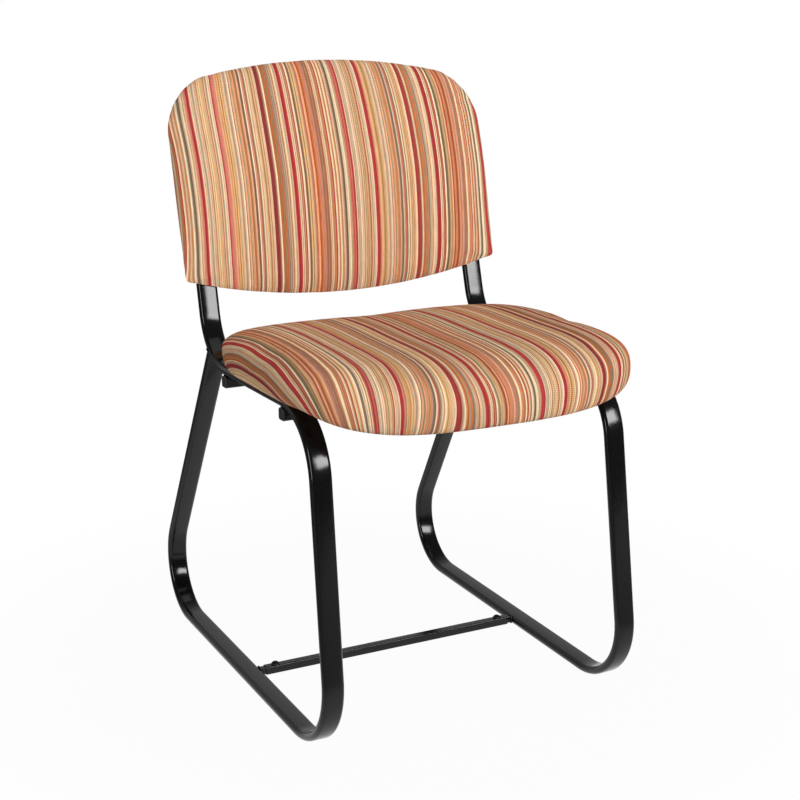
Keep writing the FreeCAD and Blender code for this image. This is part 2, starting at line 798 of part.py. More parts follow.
def back_section(x, grow):
    """Closed side profile of the back pad at a distance x from the middle."""
    low = back_low(x, grow)
    high = back_high(x, grow)
    length = high - low

    def on_front(share):
        z = low + share * length
        return Vector(x, -back_front(x, z, grow), z)

    waist = -back_waist - wrap_forward(x, back_wrap)
    low_waist = Vector(x, waist, low)
    high_waist = Vector(x, waist, high)
    low_rear = Vector(x, form_overrun, low + back_edge_slope)
    high_rear = Vector(x, form_overrun, high - back_edge_slope)
    edges = [arc_edge(low_waist, on_front(0.02), on_front(0.1)),
             arc_edge(on_front(0.1), on_front(0.3), on_front(0.5)),
             arc_edge(on_front(0.5), on_front(0.7), on_front(0.9)),
             arc_edge(on_front(0.9), on_front(0.98), high_waist),
             line_edge(high_waist, high_rear), line_edge(high_rear, low_rear),
             line_edge(low_rear, low_waist)]
    return Part.Wire(edges)


def wrapped_slab(rear_at_post, thickness):
    """Upright slab that curves forward with the pad, its rear face set at the posts."""
    post_x = frame_offset(back_point_height((back_bolt_low + back_bolt_high) / 2))
    middle = rear_at_post - wrap_forward(post_x, back_wrap)
    reach = 0.75 * back_width

    def arc_at(depth):
        side = -(middle + depth + wrap_forward(reach, back_wrap))
        return (Vector(-reach, side, -far / 4), Vector(0, -(middle + depth), -far / 4),
                Vector(reach, side, -far / 4))

    rear, front = arc_at(0.0), arc_at(thickness)
    edges = [arc_edge(*rear), line_edge(rear[2], front[2]),
             arc_edge(front[2], front[1], front[0]), line_edge(front[0], rear[0])]
    return Part.Face(Part.Wire(edges)).extrude(Vector(0, 0, 2 * far))


def back_outline(inset):
    """Outline of the backrest seen along the posts' depth, as a deep prism."""
    grow = -inset
    half = back_width / 2 + grow
    side = half - back_high_corner
    low_side = half - back_low_corner
    high_mid = half - back_high_corner * (1 - math.sqrt(0.5))
    low_mid = half - back_low_corner * (1 - math.sqrt(0.5))

    def low_at(x):
        return Vector(x, -far / 2, back_low(x, grow))

    def high_at(x):
        return Vector(x, -far / 2, back_high(x, grow))

    edges = [arc_edge(low_at(-low_side), low_at(0), low_at(low_side)),
             arc_edge(low_at(low_side), low_at(low_mid), low_at(half)),
             line_edge(low_at(half), high_at(half)),
             arc_edge(high_at(half), high_at(high_mid), high_at(side)),
             arc_edge(high_at(side), high_at(0), high_at(-side)),
             arc_edge(high_at(-side), high_at(-high_mid), high_at(-half)),
             line_edge(high_at(-half), low_at(-half)),
             arc_edge(low_at(-half), low_at(-low_mid), low_at(-low_side))]
    return Part.Face(Part.Wire(edges)).extrude(Vector(0, far, 0))


def back_form(grow):
    """Back board and padding together, or with the cover when grown by it."""
    pad = lofted(back_section, back_width / 2, grow)
    behind = wrapped_slab(back_board_rear - grow - far / 4, far / 4)
    return pad.cut(behind)


def shell_rear(x, grow):
    """How far the shell's rear face lies behind the posts' centreline."""
    across = abs(x) / (back_width / 2 + grow)
    depth = shell_depth + back_waist
    rise = (1 - across ** shell_side_fullness) ** shell_side_sharpness
    return -back_waist + (depth + grow + shell_inset) * rise


def shell_section(x, grow):
    """Closed side profile of the shell's outer form."""
    low = back_low(x, grow)
    high = back_high(x, grow)
    front = -wrap_forward(x, back_wrap) - shell_depth
    forward = wrap_forward(x, shell_wrap)
    rear = shell_rear(x, grow) - forward
    across = abs(x) / (back_width / 2 + grow)
    roll = shell_edge_roll * (1 - across ** shell_side_fullness)
    turned = roll * (1 - math.sqrt(0.5))
    edge = min(rear - edge_step, rear - roll * 0.8)
    low_front, high_front = Vector(x, front, low), Vector(x, front, high)
    low_edge, high_edge = Vector(x, edge, low), Vector(x, edge, high)
    low_rear, high_rear = Vector(x, rear, low + roll), Vector(x, rear, high - roll)
    low_turn = Vector(x, rear - turned * 0.8, low + turned)
    high_turn = Vector(x, rear - turned * 0.8, high - turned)
    edges = [line_edge(low_front, low_edge), arc_edge(low_edge, low_turn, low_rear),
             line_edge(low_rear, high_rear), arc_edge(high_rear, high_turn, high_edge),
             line_edge(high_edge, high_front), line_edge(high_front, low_front)]
    return Part.Wire(edges)


def post_clearance(side):
    """Room that the shell leaves round a post and its plug."""
    kind, start, ahead, amount, centre, bend_side = frame_path()[0]
    above = post_plug_plate + shell_post_gap
    path = [(kind, start - ahead * above, ahead, amount + above, centre, bend_side)]
    grown = 2 * shell_post_gap
    return lean_over(tube_stretch(path, tube_width + grown, tube_thickness + grown), side)


def back_shell():
    """Moulded shell with post slots, stiffening ribs and four bolt cups."""
    outer = lofted(shell_section, back_width / 2, -shell_inset)
    inner = lofted(shell_section, back_width / 2, -shell_inset - shell_wall)
    joint = back_board_rear - cover_thickness - contact_gap
    ahead = wrapped_slab(joint, far / 4)
    shell = outer.cut(inner)
    middle = (back_low_middle + back_high_middle) / 2
    ribs = []
    span = frame_offset(back_point_height(middle)) - tube_width
    rib_face = shell_depth - shell_wall - shell_rib_height
    for index in range(shell_rib_count):
        share = (index + 1) / (shell_rib_count + 1)
        height = back_low_middle + share * (back_high_middle - back_low_middle)
        ribs.append(Part.makeBox(2 * span, far, shell_rib_thickness,
                                 Vector(-span, rib_face, height)))
    for side in (-1, 1):
        for point in back_bolt_axes(side):
            ribs.append(cylinder(shell_boss_diameter / 2, far,
                                 point + Vector(0, tube_thickness / 2 + fit_gap, 0),
                                 Vector(0, 1, 0)))
    shell = shell.fuse(Part.makeCompound(ribs).common(outer)).cut(ahead)
    cups = []
    for side in (-1, 1):
        for point in back_bolt_axes(side):
            floor = tube_thickness / 2 + fit_gap + shell_wall
            cups.append(cylinder(shell_recess_diameter / 2, far, point + Vector(0, floor, 0),
                                 Vector(0, 1, 0)))
            cups.append(cylinder(clearance_hole / 2, far, point, Vector(0, 1, 0)))
    shell = shell.cut(Part.makeCompound(cups))
    shell = placed([shell], back_place)[0]
    for side in (-1, 1):
        shell = shell.cut(post_clearance(side))
    return max(shell.Solids, key=lambda solid: solid.Volume)


def back_fastened(shape_maker, forward, turned):
    """Copies of a small part on the four backrest bolt axes."""
    copies = []
    for side in (-1, 1):
        for point in back_bolt_axes(side):
            copy = shape_maker()
            copy.rotate(Vector(0, 0, 0), Vector(1, 0, 0), 90 if turned else -90)
            copy.translate(Vector(point.x, -forward, point.z))
            copies.append(copy)
    return copies


def board_front_at_post():
    """Forward reach of the back board's front face at the bolts."""
    return back_board_rear + back_board_thickness


def make_back():
    """Backrest parts by node name, placed on the posts."""
    blank = wrapped_slab(back_board_rear, back_board_thickness).common(
        back_outline(back_board_inset))
    nut_face = board_front_at_post() - back_tee_nut_sink
    nut_seats = back_fastened(tee_nut_seat, nut_face, True)
    board = blank.cut(Part.makeCompound(nut_seats))
    padded = back_form(0.0)
    foam = padded.cut(blank)
    covered = back_form(cover_thickness)
    window = back_outline(back_board_inset + back_cover_turn_in)
    behind = wrapped_slab(back_board_rear + 0.01 - far / 4, far / 4)
    cover = covered.cut(padded).cut(window.common(behind))
    head_seat = -(tube_thickness / 2 + fit_gap + shell_wall)
    drills = [cylinder(tee_nut_barrel / 2, far, point - Vector(0, far / 2, 0), Vector(0, 1, 0))
              for side in (-1, 1) for point in back_bolt_axes(side)]
    cover = cover.cut(Part.makeCompound(drills).common(behind))
    parts = {
        "back_board": [board.Solids[0]],
        "back_foam": [max(foam.Solids, key=lambda solid: solid.Volume)],
        "back_cover": [max(cover.Solids, key=lambda solid: solid.Volume)],
        "back_tee_nuts": back_fastened(tee_nut, nut_face, True),
        "back_bolts": back_fastened(lambda: button_bolt(back_bolt_length), head_seat, True),
    }
    return {name: placed(shapes, back_place) for name, shapes in parts.items()}


def make_frame():
    """Frame parts by node name."""
    rails = {"seat_cross_rail_rear": cross_rail_rear_from_corner,
             "seat_cross_rail_front": cross_rail_front_from_corner}
    parts = {
        "side_frame_right": [side_frame(-1)],
        "side_frame_left": [side_frame(1)],
        "post_plugs": [post_plug(side) for side in (-1, 1)],
        "floor_glides": [floor_glide(side, point) for side in (-1, 1)
                         for point in glide_points(side)],
        "cross_rail_end_caps": [cross_rail_cap(place, side) for place in rails.values()
                                for side in (-1, 1)],
        "floor_crossbar": [crossbar()],
        "crossbar_spigots": [crossbar_spigot(side) for side in (-1, 1)],
        "crossbar_bolts": [dome_bolt(side) for side in (-1, 1)],
    }
    for name, place in rails.items():
        parts[name] = [cross_rail(place)]
    return parts


def main():
    """Build every part and write one file per node."""
    os.makedirs("parts", exist_ok=True)
    parts = make_frame()
    parts.update(make_seat())
    parts.update(make_back())
    parts["back_shell"] = [back_shell()]
    for name, shapes in parts.items():
        shape = shapes[0] if len(shapes) == 1 else Part.makeCompound(shapes)
        shape.exportStep(os.path.join("parts", name + ".step"))
        box = shape.BoundBox
        print(name, len(shape.Solids), "solids, volume", round(shape.Volume),
              "valid", shape.isValid(), "y", round(box.YMin, 1), round(box.YMax, 1),
              "z", round(box.ZMin, 1), round(box.ZMax, 1))


main()
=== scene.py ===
"""Looks of a sled base visitor chair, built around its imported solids.

The file makes the bent side frames with their welds and the two padded and
striped cushions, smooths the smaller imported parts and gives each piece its
finish, then adds the floor, the lights and the camera. Lengths are in metres,
+Z is up and the sitter faces -Y.
"""

import logging
import math
from dataclasses import dataclass
from enum import Enum
from typing import Callable

import bmesh
import bpy
import numpy as np
from mathutils import Matrix, Vector, noise


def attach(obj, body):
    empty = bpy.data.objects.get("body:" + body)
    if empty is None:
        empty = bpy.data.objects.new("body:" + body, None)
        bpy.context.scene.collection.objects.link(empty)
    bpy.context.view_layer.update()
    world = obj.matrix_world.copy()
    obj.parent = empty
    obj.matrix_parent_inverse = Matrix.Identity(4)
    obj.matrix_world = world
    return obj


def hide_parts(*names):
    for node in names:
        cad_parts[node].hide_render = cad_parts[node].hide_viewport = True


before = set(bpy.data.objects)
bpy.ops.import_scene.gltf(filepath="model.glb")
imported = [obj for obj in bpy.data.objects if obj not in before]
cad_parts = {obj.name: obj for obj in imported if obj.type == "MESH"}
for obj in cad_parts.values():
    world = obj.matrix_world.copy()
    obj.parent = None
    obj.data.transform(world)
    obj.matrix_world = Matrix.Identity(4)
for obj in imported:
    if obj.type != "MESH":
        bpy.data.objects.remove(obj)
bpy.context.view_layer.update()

log = logging.getLogger("chair")
ROOT = "root"
MM = 0.001
FLAT_LAY = "flat_lay"
WHITE = (1.0, 1.0, 1.0, 1.0)

# Range that a noise texture's values mostly keep to
CLOUD_RANGE = (0.3, 0.7)

# The spin tool turns the other way round +X than the path's angles do
SPIN_SIGN = -1.0

# Vertices closer than this are one
MERGE = 0.00001

# Stops that one colour ramp holds, with a little room left
RAMP_STOPS = 30

# Steps of a curve that is measured along its length
CURVE_STEPS = 400


class Side(Enum):
    """The two sides of the chair, named from the sitter."""

    RIGHT = -1
    LEFT = 1


# Small steps that every piece takes

def deselect() -> None:
    """Leave edit mode and select nothing."""
    active = bpy.context.view_layer.objects.active
    if active is not None and active.mode != "OBJECT":
        bpy.ops.object.mode_set(mode="OBJECT")
    bpy.ops.object.select_all(action="DESELECT")


def make_active(piece: bpy.types.Object) -> None:
    """Select one piece alone and make it the active one.

    Args:
        piece: The piece to work on.
    """
    deselect()
    piece.select_set(True)
    bpy.context.view_layer.objects.active = piece


def new_piece(name: str) -> bpy.types.Object:
    """Name the primitive that was just added.

    Args:
        name: Name of the piece.

    Returns:
        The active object under its new name.
    """
    piece = bpy.context.view_layer.objects.active
    piece.name = name
    piece.data.name = name
    return piece


def edit(piece: bpy.types.Object) -> None:
    """Open a piece in edit mode with everything selected."""
    make_active(piece)
    bpy.ops.object.mode_set(mode="EDIT")
    bpy.ops.mesh.select_all(action="SELECT")


def leave_edit() -> None:
    """Go back to object mode."""
    bpy.ops.object.mode_set(mode="OBJECT")


def pick(piece: bpy.types.Object, test: Callable[[Vector], bool]) -> None:
    """Select the vertices whose place passes a test, in edit mode.

    Args:
        piece: The piece in edit mode.
        test: True for the places to select.
    """
    mesh = bmesh.from_edit_mesh(piece.data)
    for face in mesh.faces:
        face.select = False
    for edge in mesh.edges:
        edge.select = False
    for vertex in mesh.verts:
        vertex.select = test(vertex.co)
    mesh.select_flush(True)
    bmesh.update_edit_mesh(piece.data)


def apply_place(piece: bpy.types.Object) -> None:
    """Put a piece's turn and place into its mesh."""
    make_active(piece)
    bpy.ops.object.transform_apply(location=True, rotation=True, scale=True)


def apply_modifier(piece: bpy.types.Object, kind: str, **values: object) -> None:
    """Add one modifier with its values and apply it.

    Args:
        piece: The piece that gets it.
        kind: Blender's name of the modifier type.
        **values: Settings of the modifier by name.
    """
    make_active(piece)
    modifier = piece.modifiers.new(kind.title(), kind)
    for name, value in values.items():
        setattr(modifier, name, value)
    bpy.ops.object.modifier_apply(modifier=modifier.name)


def shade(piece: bpy.types.Object, degrees: float = 35.0) -> None:
    """Shade a piece smooth except over its sharper edges.

    Args:
        piece: The piece to shade.
        degrees: Edges that turn by more than this stay sharp.
    """
    make_active(piece)
    bpy.ops.object.shade_smooth_by_angle(angle=math.radians(degrees))


def outward(piece: bpy.types.Object) -> None:
    """Merge doubled vertices and turn every face outwards."""
    edit(piece)
    bpy.ops.mesh.remove_doubles(threshold=MERGE)
    bpy.ops.mesh.normals_make_consistent(inside=False)
    leave_edit()


def join(pieces: list[bpy.types.Object], name: str) -> bpy.types.Object:
    """Join several objects into one piece.

    Args:
        pieces: What is joined.
        name: Name of the result.

    Returns:
        The joined piece.
    """
    deselect()
    for piece in pieces:
        piece.select_set(True)
    bpy.context.view_layer.objects.active = pieces[0]
    bpy.ops.object.join()
    return new_piece(name)


def dress(piece: bpy.types.Object, material: bpy.types.Material,
          nodes: tuple[str, ...] = ()) -> bpy.types.Object:
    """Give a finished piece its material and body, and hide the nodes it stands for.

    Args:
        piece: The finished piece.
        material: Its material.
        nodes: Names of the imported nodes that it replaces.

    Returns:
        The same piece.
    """
    piece.data.materials.clear()
    piece.data.materials.append(material)
    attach(piece, ROOT)
    if nodes:
        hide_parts(*nodes)
    log.info("%s: %d faces", piece.name, len(piece.data.polygons))
    return piece


# Places shared by the pieces, as they are in the solids

@dataclass(frozen=True)
class Layout:
    """Corner points and angles of the chair that several pieces share."""

    rear_corner: tuple[float, float] = (0.1247, 0.4385)
    front_corner: tuple[float, float] = (-0.2298, 0.4480)
    floor_front: float = -0.2933
    floor_rear: float = 0.3717
    leg_aim: tuple[float, float] = (0.1262, 0.4340)
    back_angle: float = math.radians(15.2)
    lean: float = math.radians(0.75)
    spacing_at_floor: float = 0.444
    glide_height: float = 0.002
    tube_width: float = 0.030
    tube_thickness: float = 0.012

    @property
    def seat_place(self) -> Matrix:
        """Place of the seat's own axes, Y along the rail and Z above it."""
        run = self.rear_corner[0] - self.front_corner[0]
        rise = self.front_corner[1] - self.rear_corner[1]
        turn = Matrix.Rotation(-math.atan2(rise, run), 4, "X")
        return Matrix.Translation((0, *self.rear_corner)) @ turn

    @property
    def back_place(self) -> Matrix:
        """Place of the backrest's own axes, Z up the posts."""
        turn = Matrix.Rotation(-self.back_angle, 4, "X")
        return Matrix.Translation((0, *self.rear_corner)) @ turn

    @property
    def tube_flat(self) -> float:
        """Half the width of the tube's flat faces."""
        return (self.tube_width - self.tube_thickness) / 2

    @property
    def runner_height(self) -> float:
        """Height of the runners' centreline."""
        return self.glide_height + self.tube_thickness / 2

    def frame_offset(self, height: float) -> float:
        """Distance of a side frame's centre from the middle at a height."""
        return self.spacing_at_floor / 2 - height * math.sin(self.lean)

    def lean_over(self, piece: bpy.types.Object, side: Side) -> None:
        """Move a piece made on the middle plane onto a side frame.

        Args:
            piece: The piece, made round x = 0.
            side: The side frame it belongs to.
        """
        piece.rotation_euler = (0, -side.value * self.lean, 0)
        piece.location = (side.value * self.spacing_at_floor / 2, 0, 0)
        apply_place(piece)


LAYOUT = Layout()


# Finishes

def srgb(red: float, green: float, blue: float) -> tuple[float, float, float, float]:
    """Turn a colour as it looks on screen, 0 to 255, into a linear one.

    Args:
        red: Red, 0 to 255.
        green: Green, 0 to 255.
        blue: Blue, 0 to 255.

    Returns:
        The linear colour with full opacity.
    """
    parts = []
    for value in (red, green, blue):
        share = value / 255
        linear = share / 12.92 if share <= 0.04045 else ((share + 0.055) / 1.055) ** 2.4
        parts.append(linear)
    return (*parts, 1.0)


class Nodes:
    """A node tree with short calls to add and join its nodes."""

    def __init__(self, tree: bpy.types.NodeTree) -> None:
        """Keep the tree that the nodes go into.

        Args:
            tree: A material's or a group's node tree.
        """
        self.tree = tree

    def add(self, kind: str, inputs: dict[str | int, object] | None = None,
            **values: object) -> bpy.types.Node:
        """Add a node.

        Args:
            kind: Blender's name of the node type.
            inputs: Plain values or sockets by input name or number.
            **values: Settings of the node itself.

        Returns:
            The new node.
        """
        node = self.tree.nodes.new(kind)
        for name, value in values.items():
            setattr(node, name, value)
        for key, value in (inputs or {}).items():
            self.feed(node, key, value)
        return node

    def feed(self, node: bpy.types.Node, key: str | int, value: object) -> None:
        """Set or link one input of a node.

        Args:
            node: The node.
            key: Name or number of the input.
            value: A socket to link, or a plain value.
        """
        if isinstance(value, bpy.types.NodeSocket):
            self.tree.links.new(value, node.inputs[key])
        else:
            node.inputs[key].default_value = value

    def math(self, operation: str, first: object, second: object = 0.0,
             third: object = 0.0) -> bpy.types.NodeSocket:
        """Add a Math node and return its result.

        Args:
            operation: Name of the operation.
            first: First value or socket.
            second: Second value or socket.
            third: Third value or socket.

        Returns:
            The result socket.
        """
        node = self.add("ShaderNodeMath", {0: first, 1: second, 2: third},
                        operation=operation)
        return node.outputs[0]

    def blend(self, share: object, first: object, second: object,
              mode: str = "MIX") -> bpy.types.NodeSocket:
        """Mix two colours.

        Args:
            share: How much of the second, as a value or socket.
            first: First colour or socket.
            second: Second colour or socket.
            mode: Name of the blend mode.

        Returns:
            The mixed colour.
        """
        node = self.add("ShaderNodeMix", data_type="RGBA", blend_type=mode)
        self.feed(node, 0, share)
        self.feed(node, 6, first)
        self.feed(node, 7, second)
        return node.outputs[2]

    def ramp(self, share: object, stops: list[tuple[float, tuple]],
             interpolation: str = "LINEAR") -> bpy.types.NodeSocket:
        """Add a colour ramp.

        Args:
            share: The value it reads.
            stops: Place and colour of each stop, in order.
            interpolation: How colours run between the stops.

        Returns:
            The ramp's colour.
        """
        node = self.add("ShaderNodeValToRGB", {0: share})
        ramp = node.color_ramp
        ramp.interpolation = interpolation
        while len(ramp.elements) < len(stops):
            ramp.elements.new(1.0)
        for element, (place, colour) in zip(ramp.elements, stops):
            element.position = place
            element.color = colour
        return node.outputs[0]

    def span(self, value: object, source: tuple[float, float],
             target: tuple[float, float], curve: str = "LINEAR") -> bpy.types.NodeSocket:
        """Turn one range of values into another.

        Args:
            value: The value or socket.
            source: The range that it has.
            target: The range that it gets.
            curve: Name of the interpolation.

        Returns:
            The value in its new range.
        """
        node = self.add("ShaderNodeMapRange",
                        {"Value": value, "From Min": source[0], "From Max": source[1],
                         "To Min": target[0], "To Max": target[1]}, interpolation_type=curve)
        return node.outputs["Result"]

    def bump(self, shader: bpy.types.Node, height: bpy.types.NodeSocket, distance: float,
             strength: float = 1.0) -> None:
        """Give a shader a bump.

        Args:
            shader: The Principled shader.
            height: The height that the bump follows.
            distance: How deep it is.
            strength: How strongly it shows.
        """
        node = self.add("ShaderNodeBump", {"Height": height, "Distance": distance,
                                           "Strength": strength})
        self.feed(shader, "Normal", node.outputs["Normal"])

    def object_place(self) -> bpy.types.NodeSocket:
        """Place on the piece, as its Object coordinates."""
        return self.add("ShaderNodeTexCoord").outputs["Object"]


def start_group(name: str, inputs: dict[str, object],
                outputs: dict[str, str]) -> tuple[bpy.types.NodeTree, Nodes]:
    """Make an empty node group with named sockets.

    Args:
        name: Name of the group.
        inputs: Default value by input name; a name held with None is a vector.
        outputs: Kind of each output by name.

    Returns:
        The group and its node helper.
    """
    group = bpy.data.node_groups.new(name, "ShaderNodeTree")
    for label, value in inputs.items():
        kind = "NodeSocketVector" if value is None else "NodeSocketFloat"
        socket = group.interface.new_socket(label, in_out="INPUT", socket_type=kind)
        if value is not None:
            socket.default_value = value
    for label, kind in outputs.items():
        group.interface.new_socket(label, in_out="OUTPUT", socket_type=kind)
    return group, Nodes(group)


def grain_group() -> bpy.types.NodeTree:
    """Fine grain of a painted or moulded surface, as a height and a mask.

    Returns:
        The group, with a Height and a Cloud output.
    """
    group, nodes = start_group(
        "surface grain", {"Vector": None, "Grain Size": 900.0, "Cloud Size": 12.0},
        {"Height": "NodeSocketFloat", "Cloud": "NodeSocketFloat"})
    given = nodes.add("NodeGroupInput")
    fine = nodes.add("ShaderNodeTexNoise", {"Vector": given.outputs["Vector"],
                                            "Scale": given.outputs["Grain Size"],
                                            "Detail": 2.0, "Roughness": 0.55})
    cloud = nodes.add("ShaderNodeTexNoise", {"Vector": given.outputs["Vector"],
                                             "Scale": given.outputs["Cloud Size"],
                                             "Detail": 3.0, "Roughness": 0.6})
    out = nodes.add("NodeGroupOutput")
    nodes.feed(out, "Height", fine.outputs["Fac"])
    nodes.feed(out, "Cloud", cloud.outputs["Fac"])
    return group


GRAIN = grain_group()


class Finish:
    """Base of every finish: a material with its own Principled shader."""

    def start(self, name: str) -> tuple[bpy.types.Material, Nodes, bpy.types.Node]:
        """Make a material and hand over its parts.

        Args:
            name: Name of the material.

        Returns:
            The material, its node helper and its shader.
        """
        material = bpy.data.materials.new(name)
        material.use_nodes = True
        nodes = Nodes(material.node_tree)
        return material, nodes, material.node_tree.nodes["Principled BSDF"]

    def grain(self, nodes: Nodes, grain_size: float, cloud_size: float) -> bpy.types.Node:
        """Place the grain group on Object coordinates.

        Args:
            nodes: Node helper of the material.
            grain_size: Scale of the fine grain.
            cloud_size: Scale of the slow variation.

        Returns:
            The group node.
        """
        return nodes.add("ShaderNodeGroup", {"Vector": nodes.object_place(),
                                             "Grain Size": grain_size,
                                             "Cloud Size": cloud_size}, node_tree=GRAIN)


@dataclass(frozen=True)
class GrainedFinish(Finish):
    """A plain surface with fine grain: paint, moulded plastic, nylon or zinc."""

    name: str
    colour: tuple[float, float, float, float]
    second_colour: tuple[float, float, float, float]
    roughness: tuple[float, float]
    grain_size: float = 900.0
    grain_height: float = 0.00005
    cloud_size: float = 12.0
    metallic: float = 0.0
    level: float = 0.5

    def make(self) -> bpy.types.Material:
        """Build the material.

        Returns:
            The finished material.
        """
        material, nodes, shader = self.start(self.name)
        grain = self.grain(nodes, self.grain_size, self.cloud_size)
        colour = nodes.blend(grain.outputs["Cloud"], self.colour, self.second_colour)
        nodes.feed(shader, "Base Color", colour)
        rough = nodes.span(grain.outputs["Cloud"], CLOUD_RANGE, self.roughness)
        nodes.feed(shader, "Roughness", rough)
        nodes.bump(shader, grain.outputs["Height"], self.grain_height)
        shader.inputs["Metallic"].default_value = self.metallic
        shader.inputs["Specular IOR Level"].default_value = self.level
        return material


@dataclass(frozen=True)
class PlywoodFinish(Finish):
    """Beech plywood, grain along the width, with its layers on the edge."""

    light: tuple[float, float, float, float] = srgb(206, 174, 132)
    dark: tuple[float, float, float, float] = srgb(164, 126, 86)
    grain_height: float = 0.0002
    grain_strength: float = 0.6

    def make(self) -> bpy.types.Material:
        """Build the material.

        Returns:
            The finished material.
        """
        material, nodes, shader = self.start("beech plywood")
        stretch = nodes.add("ShaderNodeMapping", {"Vector": nodes.object_place(),
                                                  "Scale": (3.0, 60.0, 60.0)})
        grain = nodes.add("ShaderNodeTexNoise", {"Vector": stretch.outputs["Vector"],
                                                 "Scale": 2.2, "Detail": 6.0,
                                                 "Roughness": 0.62, "Distortion": 0.6})
        flecks = nodes.add("ShaderNodeTexNoise", {"Vector": stretch.outputs["Vector"],
                                                  "Scale": 14.0, "Detail": 2.0})
        tone = nodes.math("MULTIPLY", grain.outputs["Fac"], flecks.outputs["Fac"])
        colour = nodes.ramp(tone, [(0.12, self.dark), (0.42, self.light)])
        nodes.feed(shader, "Base Color", colour)
        nodes.bump(shader, grain.outputs["Fac"], self.grain_height, self.grain_strength)
        shader.inputs["Roughness"].default_value = 0.62
        return material


@dataclass(frozen=True)
class UnderliningFinish(Finish):
    """Black spunbond cloth with its small bonded points."""

    dark: tuple[float, float, float, float] = srgb(22, 22, 23)
    light: tuple[float, float, float, float] = srgb(52, 52, 54)
    fibre_height: float = 0.0003
    fibre_strength: float = 0.8

    def make(self) -> bpy.types.Material:
        """Build the material.

        Returns:
            The finished material.
        """
        material, nodes, shader = self.start("black underlining")
        place = nodes.object_place()
        points = nodes.add("ShaderNodeTexVoronoi", {"Vector": place,
                                                    "Scale": 600.0, "Randomness": 0.25})
        fibres = nodes.add("ShaderNodeTexNoise", {"Vector": place,
                                                  "Scale": 260.0, "Detail": 5.0,
                                                  "Distortion": 2.0})
        tone = nodes.math("MULTIPLY", points.outputs["Distance"], fibres.outputs["Fac"])
        colour = nodes.ramp(tone, [(0.05, self.dark), (0.4, self.light)])
        nodes.feed(shader, "Base Color", colour)
        nodes.bump(shader, tone, self.fibre_height, self.fibre_strength)
        shader.inputs["Roughness"].default_value = 0.9
        return material


class Yarn(Enum):
    """Colours of the yarns in the striped cloth."""

    CREAM = srgb(244, 218, 180)
    SAND = srgb(236, 194, 150)
    STRAW = srgb(226, 180, 122)
    PEACH = srgb(236, 172, 132)
    SALMON = srgb(214, 132, 108)
    AMBER = srgb(206, 134, 82)
    ORANGE = srgb(206, 112, 62)
    RUST = srgb(182, 86, 60)
    RED = srgb(188, 62, 64)
    WINE = srgb(158, 56, 56)
    OLIVE = srgb(152, 140, 106)
    STONE = srgb(196, 168, 142)
    GREY = srgb(134, 112, 96)
    MAUVE = srgb(178, 128, 108)


# The cloth's warp over one repeat, as yarns and relative widths
WARP = (
    (Yarn.RED, 4.2), (Yarn.CREAM, 3), (Yarn.STONE, 1.8), (Yarn.CREAM, 3),
    (Yarn.AMBER, 1.5), (Yarn.SAND, 3), (Yarn.STRAW, 2), (Yarn.SAND, 4),
    (Yarn.STONE, 1.6), (Yarn.CREAM, 3), (Yarn.RED, 4.2), (Yarn.SALMON, 1.4),
    (Yarn.PEACH, 2), (Yarn.STRAW, 5), (Yarn.SAND, 2), (Yarn.STONE, 3),
    (Yarn.CREAM, 2), (Yarn.RUST, 0.9), (Yarn.PEACH, 5), (Yarn.AMBER, 2.5),
    (Yarn.PEACH, 2), (Yarn.GREY, 2.6), (Yarn.CREAM, 1.5), (Yarn.SALMON, 3),
    (Yarn.OLIVE, 1), (Yarn.CREAM, 4), (Yarn.STRAW, 3), (Yarn.SAND, 4),
    (Yarn.CREAM, 1), (Yarn.WINE, 4.6), (Yarn.MAUVE, 1.3), (Yarn.CREAM, 2),
    (Yarn.ORANGE, 6), (Yarn.GREY, 1.6), (Yarn.STONE, 2), (Yarn.SAND, 3),
    (Yarn.CREAM, 3.4), (Yarn.PEACH, 1), (Yarn.RED, 4.6), (Yarn.CREAM, 3),
    (Yarn.RUST, 3.5), (Yarn.CREAM, 2), (Yarn.GREY, 2.6), (Yarn.STRAW, 4),
    (Yarn.PEACH, 2), (Yarn.RUST, 2), (Yarn.PEACH, 2), (Yarn.ORANGE, 3),
    (Yarn.PEACH, 2), (Yarn.SALMON, 3), (Yarn.MAUVE, 3.6), (Yarn.AMBER, 1.5),
    (Yarn.CREAM, 2.5), (Yarn.AMBER, 3), (Yarn.RED, 1.6), (Yarn.CREAM, 2),
    (Yarn.ORANGE, 2), (Yarn.CREAM, 2), (Yarn.AMBER, 2), (Yarn.CREAM, 2.5),
    (Yarn.GREY, 2.3), (Yarn.CREAM, 2.5), (Yarn.SAND, 3), (Yarn.SALMON, 1.5),
)

# Pin stripes set into the wider stripes, in turn
PINS = (Yarn.AMBER, Yarn.SALMON, Yarn.OLIVE, Yarn.RUST, Yarn.PEACH)
PIN_SHARE = 0.24
PIN_FROM = 2.9


def pinned_warp() -> tuple[tuple[Yarn, float], ...]:
    """The warp with a pin stripe along the middle of each wide stripe.

    Returns:
        Yarns and relative widths over one repeat.
    """
    warp, count = [], 0
    for yarn, width in WARP:
        if width < PIN_FROM or yarn in (Yarn.RED, Yarn.WINE):
            warp.append((yarn, width))
            continue
        side = width * (1 - PIN_SHARE) / 2
        warp += [(yarn, side), (PINS[count % len(PINS)], width * PIN_SHARE), (yarn, side)]
        count += 1
    return tuple(warp)


# Shares of the ribs and of the cross ribs in the weave's height
RIB_SHARE = 0.35
BAR_SHARE = 0.25

# Single yarns and streaks to one rib, and slubs to one metre of yarn
YARNS_PER_RIB = 0.72
STREAKS_PER_RIB = 0.61
SLUBS_PER_METRE = 38.0


